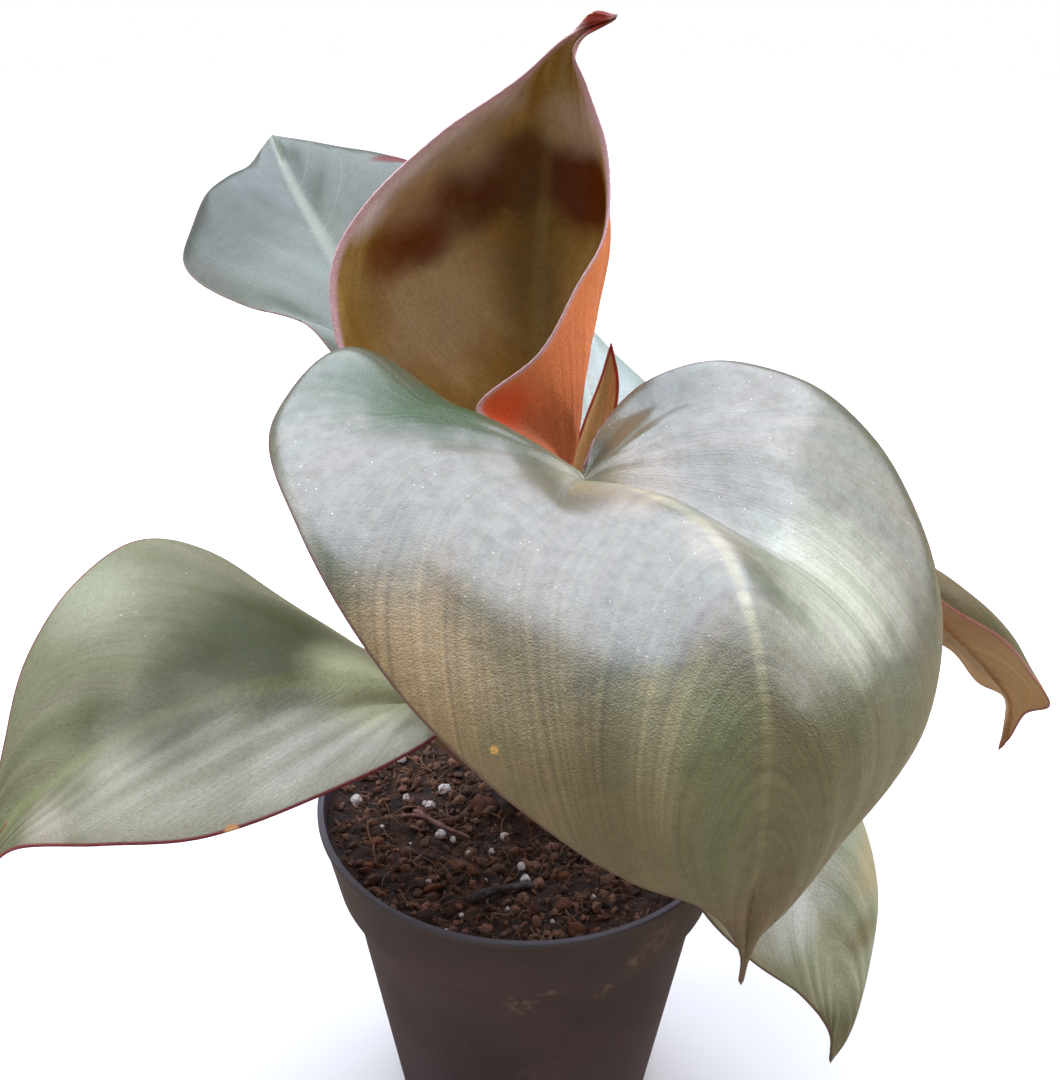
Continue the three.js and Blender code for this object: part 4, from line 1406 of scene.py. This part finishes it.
def addPot():
    # The wall's outline from the underside over the rim to the floor, turned about the axis,
    # with the drainage holes cut through the floor.
    foot = pot["height"] - pot["collarHeight"]
    lip, wall, rim = pot["lip"], pot["wall"], pot["rimRadius"]
    corners = [
        [0, 0, 0],
        [pot["baseRadius"], 0, 1.1],
        [pot["shoulderRadius"], foot, 0.7],
        [pot["collarRadius"], foot + 0.6, 0.5],
        [rim - lip, pot["height"] - 3 * lip, 0.4],
        [rim, pot["height"] - 2.2 * lip, 0.25],
        [rim, pot["height"], lip * 0.7],
        [rim - wall - lip, pot["height"], 0.25],
        [rim - wall - lip, pot["height"] - lip, 0.2],
        [pot["collarRadius"] - wall, foot + 1.6, 0.6],
        [pot["shoulderRadius"] - wall, foot + 1, 0.4],
        [pot["baseRadius"] - wall, pot["floor"], 0.8],
        [0, pot["floor"], 0],
    ]
    profile = subdivided(roundedProfile(corners), 4)[1:-1]
    points, faces = closedTube(turnedRings(profile[:, :1], profile[:, 1:], pot["segments"]))
    piece = addPiece("nurseryPot", points, faces, makePotMaterial(), "pot")
    drill = bmesh.new()
    for k in range(pot["holes"]):
        turn = 2 * math.pi * k / pot["holes"]
        reach, radius = pot["holeRing"] * mm, pot["holeRadius"] * mm
        at = Matrix.Translation((reach * math.cos(turn), reach * math.sin(turn), 0))
        bmesh.ops.create_cone(drill, cap_ends=True, segments=pot["holeSides"], radius1=radius,
                              radius2=radius, depth=0.01, matrix=at)
    cutter = addObject("drill", meshOf(drill, "drill"))
    cut = piece.modifiers.new("holes", "BOOLEAN")
    cut.object = cutter
    cut.operation = "DIFFERENCE"
    cut.solver = "EXACT"
    done = bpy.data.meshes.new_from_object(piece.evaluated_get(bpy.context.evaluated_depsgraph_get()))
    piece.modifiers.clear()
    piece.data = done
    bpy.data.objects.remove(cutter)
    done.polygons.foreach_set("use_smooth", np.ones(len(done.polygons), bool))


addPot()
print("pot")


# Soil

bed = {
    "material": "peat",
    "rings": 120,
    "segments": 300,
    "holeHeights": [47, 54, 62, 72, 79],  # rings up the wall of the stem's hole
    "holeGap": 0.5,
    "rimGap": 1.3,
    "dark": tone(36, 24, 20),
    "light": tone(84, 58, 44),
    "fine": tone(30, 20, 16),
    "speck": tone(140, 116, 98),
    "lumpScale": 330.0,
    "fineScale": 1500.0,
    "speckScale": 700.0,
    "bumpDepth": 1.2,
    "seed": 7,
}

# grains of perlite and bark that can be seen: x, y and size
seenPerlite = [
    [-41, 1, 1.4], [-29, 1, 1.1], [-20, 5, 1.8], [-23, -1, 1.4], [-20, -12, 1.3], [-24, 0, 1.0],
    [-5, -12, 1.0], [-13, -18, 0.9], [-8, -17, 0.9], [-1, -22, 1.2], [0, -27, 1.2],
    [-22, -27, 0.8], [-20, -25, 0.6], [15, -32, 0.7], [-17, -43, 0.8], [-17, -13, 0.9],
    [-34, -9, 0.5], [-31, -19, 0.6], [-27, -13, 0.4], [-12, -6, 0.6], [-9, -27, 0.5], [-4, -36, 0.6],
    [-26, -34, 0.6], [-36, -27, 0.4], [6, -40, 0.6], [10, -36, 0.4], [-14, -38, 0.5], [-30, 8, 0.6],
]
seenBark = [[-35, -14, 2.8], [-36, -22, 2.2], [-10, -1, 3.2], [-29, 12, 2.0], [-25, -4, 1.8]]

# Sizes are low + (high - low) share^power. Random grains lie only where y is over behind.
grains = {
    "soilCrumbs": {
        "material": "peatCrumbs", "dark": tone(42, 27, 22), "light": tone(150, 108, 86),
        "count": 2400, "size": (0.3, 1.5), "power": 2.6, "seen": np.zeros((0, 3)), "behind": -99,
        "stretch": (0.4, 1.35), "lumpy": 0.5, "sink": 0.1, "seed": 11, "levels": 2,
    },
    "perliteGrains": {
        "material": "perlite", "dark": tone(190, 178, 174), "light": tone(246, 244, 244),
        "count": 40, "size": (0.5, 1.4), "power": 1, "seen": np.array(seenPerlite), "behind": 6,
        "stretch": (0.75, 1.05), "lumpy": 0.3, "sink": 0.45, "seed": 23, "levels": 3,
        "stain": tone(158, 136, 120), "pitScale": 1700.0,
    },
    "barkBits": {
        "material": "bark", "dark": tone(70, 38, 26), "light": tone(134, 82, 54),
        "count": 34, "size": (1.0, 2.3), "power": 1, "seen": np.array(seenBark), "behind": -99,
        "stretch": (0.35, 1.25), "lumpy": 0.3, "sink": 0.2, "seed": 37, "levels": 3,
    },
}

fibres = {
    "material": "fibres",
    "count": 420,
    "reach": 0.9,  # share of the way out to which they start
    "length": (3, 9),
    "radius": (0.1, 0.24),
    "bend": (-1.6, 1.6),
    "arch": (0.2, 1.4),
    "segments": 9,
    "sides": 5,
    "dark": tone(78, 52, 38),
    "light": tone(150, 112, 84),
}

rosy = {"dark": tone(112, 76, 70), "light": tone(172, 128, 124)}
soilTwigs = [
    rosy | {"material": "rootTwig", "start": (-27, -3), "end": (-13, -13), "bend": -1.2,
            "radius": 0.8, "lift": 1.0, "arch": 0.9},
    rosy | {"material": "sideTwig", "start": (-30, -6), "end": (-22, -7), "bend": 0.5,
            "radius": 0.6, "lift": 1.2, "arch": 0.3},
    {"material": "oldStick", "dark": tone(64, 56, 60), "light": tone(108, 98, 102),
     "start": (-13, -34), "end": (2, -29), "bend": 0.6, "radius": 1.1, "lift": 1.3, "arch": 0.3},
]


def soilHeight(x, y):
    # The level, slow waves, a rise against the stem and rough noise of lumps and crumbs.
    waves = np.sin(x / 5 + 1) * np.cos(y / 6) + 0.6 * np.sin(x / 2.7 - y / 3.9)
    away = np.hypot(x - stem["centre"][0], y - stem["centre"][1])
    mound = soil["mound"] * bell(np.maximum(away - stem["radius"], 0), 0, 8)
    spots = np.stack([x, y, np.zeros_like(x)], -1)
    lumps = soil["lumpHeight"] * roughNoise(spots, soil["lumpSize"], 4, 31)
    return soil["level"] + soil["relief"] * waves * 0.4 + mound + lumps


def makeSoilMaterial(look, shaded=False):
    # Lumps in two tones. In a shaded piece each grain also leans to one of them.
    material, tree, shader = newMaterial(look["material"])
    place = objectPlace(tree)
    lumps = noise(tree, place, bed["lumpScale"], 4.0, 0.65)
    fine = noise(tree, place, bed["fineScale"], 4.0, 0.75)
    share = mapped(tree, lumps, 0.35, 0.7)
    if shaded:
        own = times(tree, attribute(tree, "shade"), 0.7)
        share = plus(tree, times(tree, share, 0.4), own, True)
    specks = useGroup(tree, speckles, {"Place": place, "Scale": bed["speckScale"],
                                       "Share": 0.08, "Size": 0.22})
    colour = layered(tree, look["dark"], (share, look["light"]),
                     (mapped(tree, fine, 0.5, 0.75, 0.0, 0.5), bed["fine"]),
                     (times(tree, specks["Mask"], 0.5), bed["speck"]))
    height = plus(tree, lumps, times(tree, fine, 0.6))
    rough = mapped(tree, lumps, 0.3, 0.7, 0.75, 0.95)
    finish(tree, shader, colour, rough, height, 0.9, bed["bumpDepth"])
    return material


def addSoilBed():
    # Rings from the pot's floor up its wall, over the surface and down the wall of the stem's
    # hole. The rings' centres move from the pot's to the stem's.
    collar = pot["height"] - pot["collarHeight"]
    clear = pot["wall"] + soil["wallGap"]
    share = np.linspace(0, 1, bed["rings"])
    holeZ = np.array(bed["holeHeights"], float)
    inner = float(stemRadius(soil["level"])) + bed["holeGap"]
    outer = pot["rimRadius"] - pot["wall"] - bed["rimGap"]
    wallR = np.array([pot["collarRadius"], pot["shoulderRadius"], pot["baseRadius"]]) - clear
    wallZ = np.array([collar + 2, collar + 1, pot["floor"] + 0.3])
    radius = np.concatenate([stemRadius(holeZ) + bed["holeGap"], inner + (outer - inner) * share,
                             wallR])
    lean = np.concatenate([np.ones(len(holeZ)), 1 - share, np.zeros(len(wallR))])[:, None]
    centre = [place * lean for place in stem["centre"]]
    rings = turnedRings(radius[:, None], 0, bed["segments"], centre)
    rings[..., 2] = soilHeight(rings[..., 0], rings[..., 1])
    rings[:len(holeZ), :, 2] = holeZ[:, None]
    rings[-len(wallR):, :, 2] = wallZ[:, None]
    points, faces = closedTube(rings[::-1])
    addPiece("soilBed", points, faces, makeSoilMaterial(bed), "soil")


def ballTemplate(levels):
    ball = bmesh.new()
    bmesh.ops.create_icosphere(ball, subdivisions=levels, radius=1)
    points = np.array([v.co[:] for v in ball.verts])
    faces = np.array([[v.index for v in f.verts] for f in ball.faces])
    ball.free()
    return points, faces


def addCopies(name, points, faces, random, material):
    # Many small closed shapes with the same faces as one piece, each with a random shade.
    count, size = points.shape[:2]
    allFaces = faces[None] + np.arange(count)[:, None, None] * size
    shade = np.repeat(random.uniform(0, 1, count), size)
    addPiece(name, points.reshape(-1, 3), allFaces.reshape(-1, 3), material, None,
             {"shade": shade})


def turnedFrames(random, count):
    # Random right-handed frames from pairs of random directions.
    a = unit(random.normal(size=(count, 3)))
    b = unit(np.cross(a, unit(random.normal(size=(count, 3)))))
    return np.stack([a, b, np.cross(a, b)], 1)


def soilSpots(random, count):
    # Random places on the soil, evenly by area, off the stem and the pot's wall.
    angle = random.uniform(0, 2 * np.pi, count * 2)
    reach = pot["rimRadius"] - soil["litterGap"]
    radius = reach * np.sqrt(random.uniform(0, 1, count * 2))
    x, y = radius * np.cos(angle), radius * np.sin(angle)
    away = np.hypot(x - stem["centre"][0], y - stem["centre"][1])
    free = away > stem["radius"] + soil["stemGap"]
    return x[free][:count], y[free][:count]


def addGrains(name, grain, material, spread):
    # One rough ball a grain: radius 1 plus noise of its own place, stretched, turned, and set
    # on the soil with part of it below the surface. The seen grains come first.
    x, y = soilSpots(spread, grain["count"])
    x, y = x[y > grain["behind"]], y[y > grain["behind"]]
    low, high = grain["size"]
    sizes = low + (high - low) * spread.uniform(0, 1, len(x)) ** grain["power"]
    seen = grain["seen"]
    x, y, sizes = [np.concatenate(pair) for pair in zip(seen.T, (x, y, sizes))]
    random = np.random.default_rng(grain["seed"])
    shape, faces = ballTemplate(grain["levels"])
    shift = random.uniform(0, 90, (len(x), 1, 3))
    rough = 1 + grain["lumpy"] * roughNoise(shape[None] * 1.4 + shift, 1.0, 3, grain["seed"])
    form = shape[None] * rough[..., None] * random.uniform(*grain["stretch"], (len(x), 1, 3))
    form = np.einsum("nij,nkj->nki", turnedFrames(random, len(x)), form) * sizes[:, None, None]
    base = soilHeight(x, y) + sizes * grain["sink"]
    addCopies(name, form + np.stack([x, y, base], -1)[:, None], faces, random, material)


def makePerliteMaterial(grain):
    material, tree, shader = newMaterial(grain["material"])
    pits = noise(tree, objectPlace(tree), grain["pitScale"], 4.0, 0.7)
    stain = mapped(tree, attribute(tree, "shade"), 0.55, 1.0, 0.0, 0.45)
    colour = layered(tree, grain["dark"], (mapped(tree, pits, 0.35, 0.6), grain["light"]),
                     (stain, grain["stain"]))
    finish(tree, shader, colour, mapped(tree, pits, 0.3, 0.7, 0.95, 0.7), pits, 0.8, 0.8)
    return material


def aroundLine(centre, sides):
    # Unit vectors all round a nearly level line, square to it.
    angle = fullTurn(sides)
    tangent = unit(np.gradient(centre, axis=-2))
    side = unit(np.cross(tangent, np.array([0.0, 0, 1])))
    other = np.cross(side, tangent)
    return side[..., None, :] * np.cos(angle)[:, None] + other[..., None, :] * np.sin(angle)[:, None]


def fibreTubes(random):
    # Thin tubes along arcs: the heading turns evenly over the length and the height waves.
    x, y = soilSpots(random, fibres["count"])

    def draw(low, high):
        return random.uniform(low, high, (len(x), 1))

    t = np.linspace(0, 1, fibres["segments"])
    turn, length, width = draw(0, 6.28), draw(*fibres["length"]), draw(*fibres["radius"])
    heading = turn + draw(*fibres["bend"]) * (t - 0.5)
    step = length / (fibres["segments"] - 1)
    x = x[:, None] * fibres["reach"] + np.cumsum(np.cos(heading) * step, axis=1)
    y = y[:, None] * fibres["reach"] + np.cumsum(np.sin(heading) * step, axis=1)
    z = soilHeight(x, y) + draw(*fibres["arch"]) * np.sin(np.pi * t) + 0.2
    centre = np.stack([x, y, z], -1)
    radius = width * (0.35 + 0.65 * np.sin(np.pi * np.clip(t * 0.9 + 0.05, 0, 1)))
    return centre[:, :, None] + aroundLine(centre, fibres["sides"]) * radius[:, :, None, None]


def twigTube(twig):
    # A bumpy tube whose line bows sideways and arches up by a sine, on the soil's mean height.
    t = np.linspace(0, 1, 24)
    start, run = np.array(twig["start"], float), np.subtract(twig["end"], twig["start"])
    bow = twig["bend"] * np.sin(np.pi * t)
    line = start + run * t[:, None] + unit(np.array([-run[1], run[0]], float)) * bow[:, None]
    level = soilHeight(line[:, 0], line[:, 1]).mean() + twig["lift"]
    centre = np.stack([line[:, 0], line[:, 1], level + twig["arch"] * np.sin(np.pi * t)], -1)
    ring = aroundLine(centre, 12)
    rough = 1 + 0.3 * roughNoise(centre[:, None] + ring * twig["radius"], 1.2, 3, 5)
    taper = (1 - 0.45 * t) * np.sqrt(np.clip(np.minimum(t, 1 - t) / 0.04, 0.15, 1))
    return centre[:, None] + ring * (twig["radius"] * taper[:, None] * rough)[..., None]


def addFibres(random):
    tubes = fibreTubes(random)
    faces = closedTube(tubes[0])[1]
    ends = np.stack([tubes[:, 0].mean(axis=1), tubes[:, -1].mean(axis=1)], 1)
    points = np.concatenate([tubes.reshape(len(tubes), -1, 3), ends], 1)
    addCopies("peatFibres", points, faces, random, makeSoilMaterial(fibres, True))


def addSoilLitter():
    random = np.random.default_rng(bed["seed"])
    for name, grain in grains.items():
        material = makePerliteMaterial(grain) if "pitScale" in grain else makeSoilMaterial(grain, True)
        addGrains(name, grain, material, random)
    addFibres(random)
    for twig in soilTwigs:
        points, faces = closedTube(twigTube(twig))
        addPiece(twig["material"], points, faces, makeSoilMaterial(twig))


addSoilBed()
addSoilLitter()
print("soil")


# Floor and light

studio = {
    "floorRadius": 1.3,
    "floor": (0.86, 0.86, 0.86, 1),
    "floorBounce": (0.27, 0.22, 0.13, 1),  # it throws less light up than it shows
    "room": (1.0, 1.0, 1.0, 1),
    "roomBounce": (1.0, 0.94, 0.78, 1),
    "roomFill": 0.26,  # strength of the room's light, where the backdrop shows at 1
    "aim": Vector((0.02, 0.0, 0.15)),
}


def seenByCamera(tree):
    return addNode(tree, "LightPath").outputs["Is Camera Ray"]


def makeFloor():
    disc = bmesh.new()
    bmesh.ops.create_circle(disc, cap_ends=True, segments=96, radius=studio["floorRadius"])
    floor = addObject("floor", meshOf(disc, "floor"))
    material, tree, shader = newMaterial("paleFloor")
    colour = mixColour(tree, seenByCamera(tree), studio["floorBounce"], studio["floor"])
    feed(tree, shader.inputs["Base Color"], colour)
    shader.inputs["Roughness"].default_value = 0.8
    floor.data.materials.append(material)


softBoxes = {
    "sky": {"place": (0.0, 0.44, 1.6), "size": 2.7, "power": 83, "colour": (0.79, 0.84, 1.0)},
    "left": {"place": (-1.3, -0.1, 1.0), "size": 1.1, "power": 12, "colour": (0.92, 0.95, 1.0)},
    "right": {"place": (1.35, 0.1, 0.95), "size": 1.4, "power": 14, "colour": (0.94, 0.96, 1.0)},
}


def makeLights():
    for name, box in softBoxes.items():
        data = bpy.data.lights.new(name, "AREA")
        data.energy = box["power"]
        data.size = box["size"]
        data.color = box["colour"]
        light = addObject(name, data)
        light.visible_camera = False
        place = Vector(box["place"])
        turn = (studio["aim"] - place).to_track_quat("-Z", "Y").to_matrix().to_4x4()
        light.matrix_world = Matrix.Translation(place) @ turn
    # the room fills in softly, and the backdrop itself is white
    world = bpy.data.worlds.new("softRoom")
    world.use_nodes = True
    tree = world.node_tree
    tree.nodes.clear()
    seen = seenByCamera(tree)
    strength = plus(tree, studio["roomFill"], times(tree, seen, 1 - studio["roomFill"]))
    colour = mixColour(tree, seen, studio["roomBounce"], studio["room"])
    room = addNode(tree, "Background", {"Color": colour, "Strength": strength})
    addNode(tree, "OutputWorld", {"Surface": room.outputs["Background"]})
    bpy.context.scene.world = world
    bpy.context.scene.view_settings.view_transform = "Standard"


makeFloor()
makeLights()
print("floor and light")
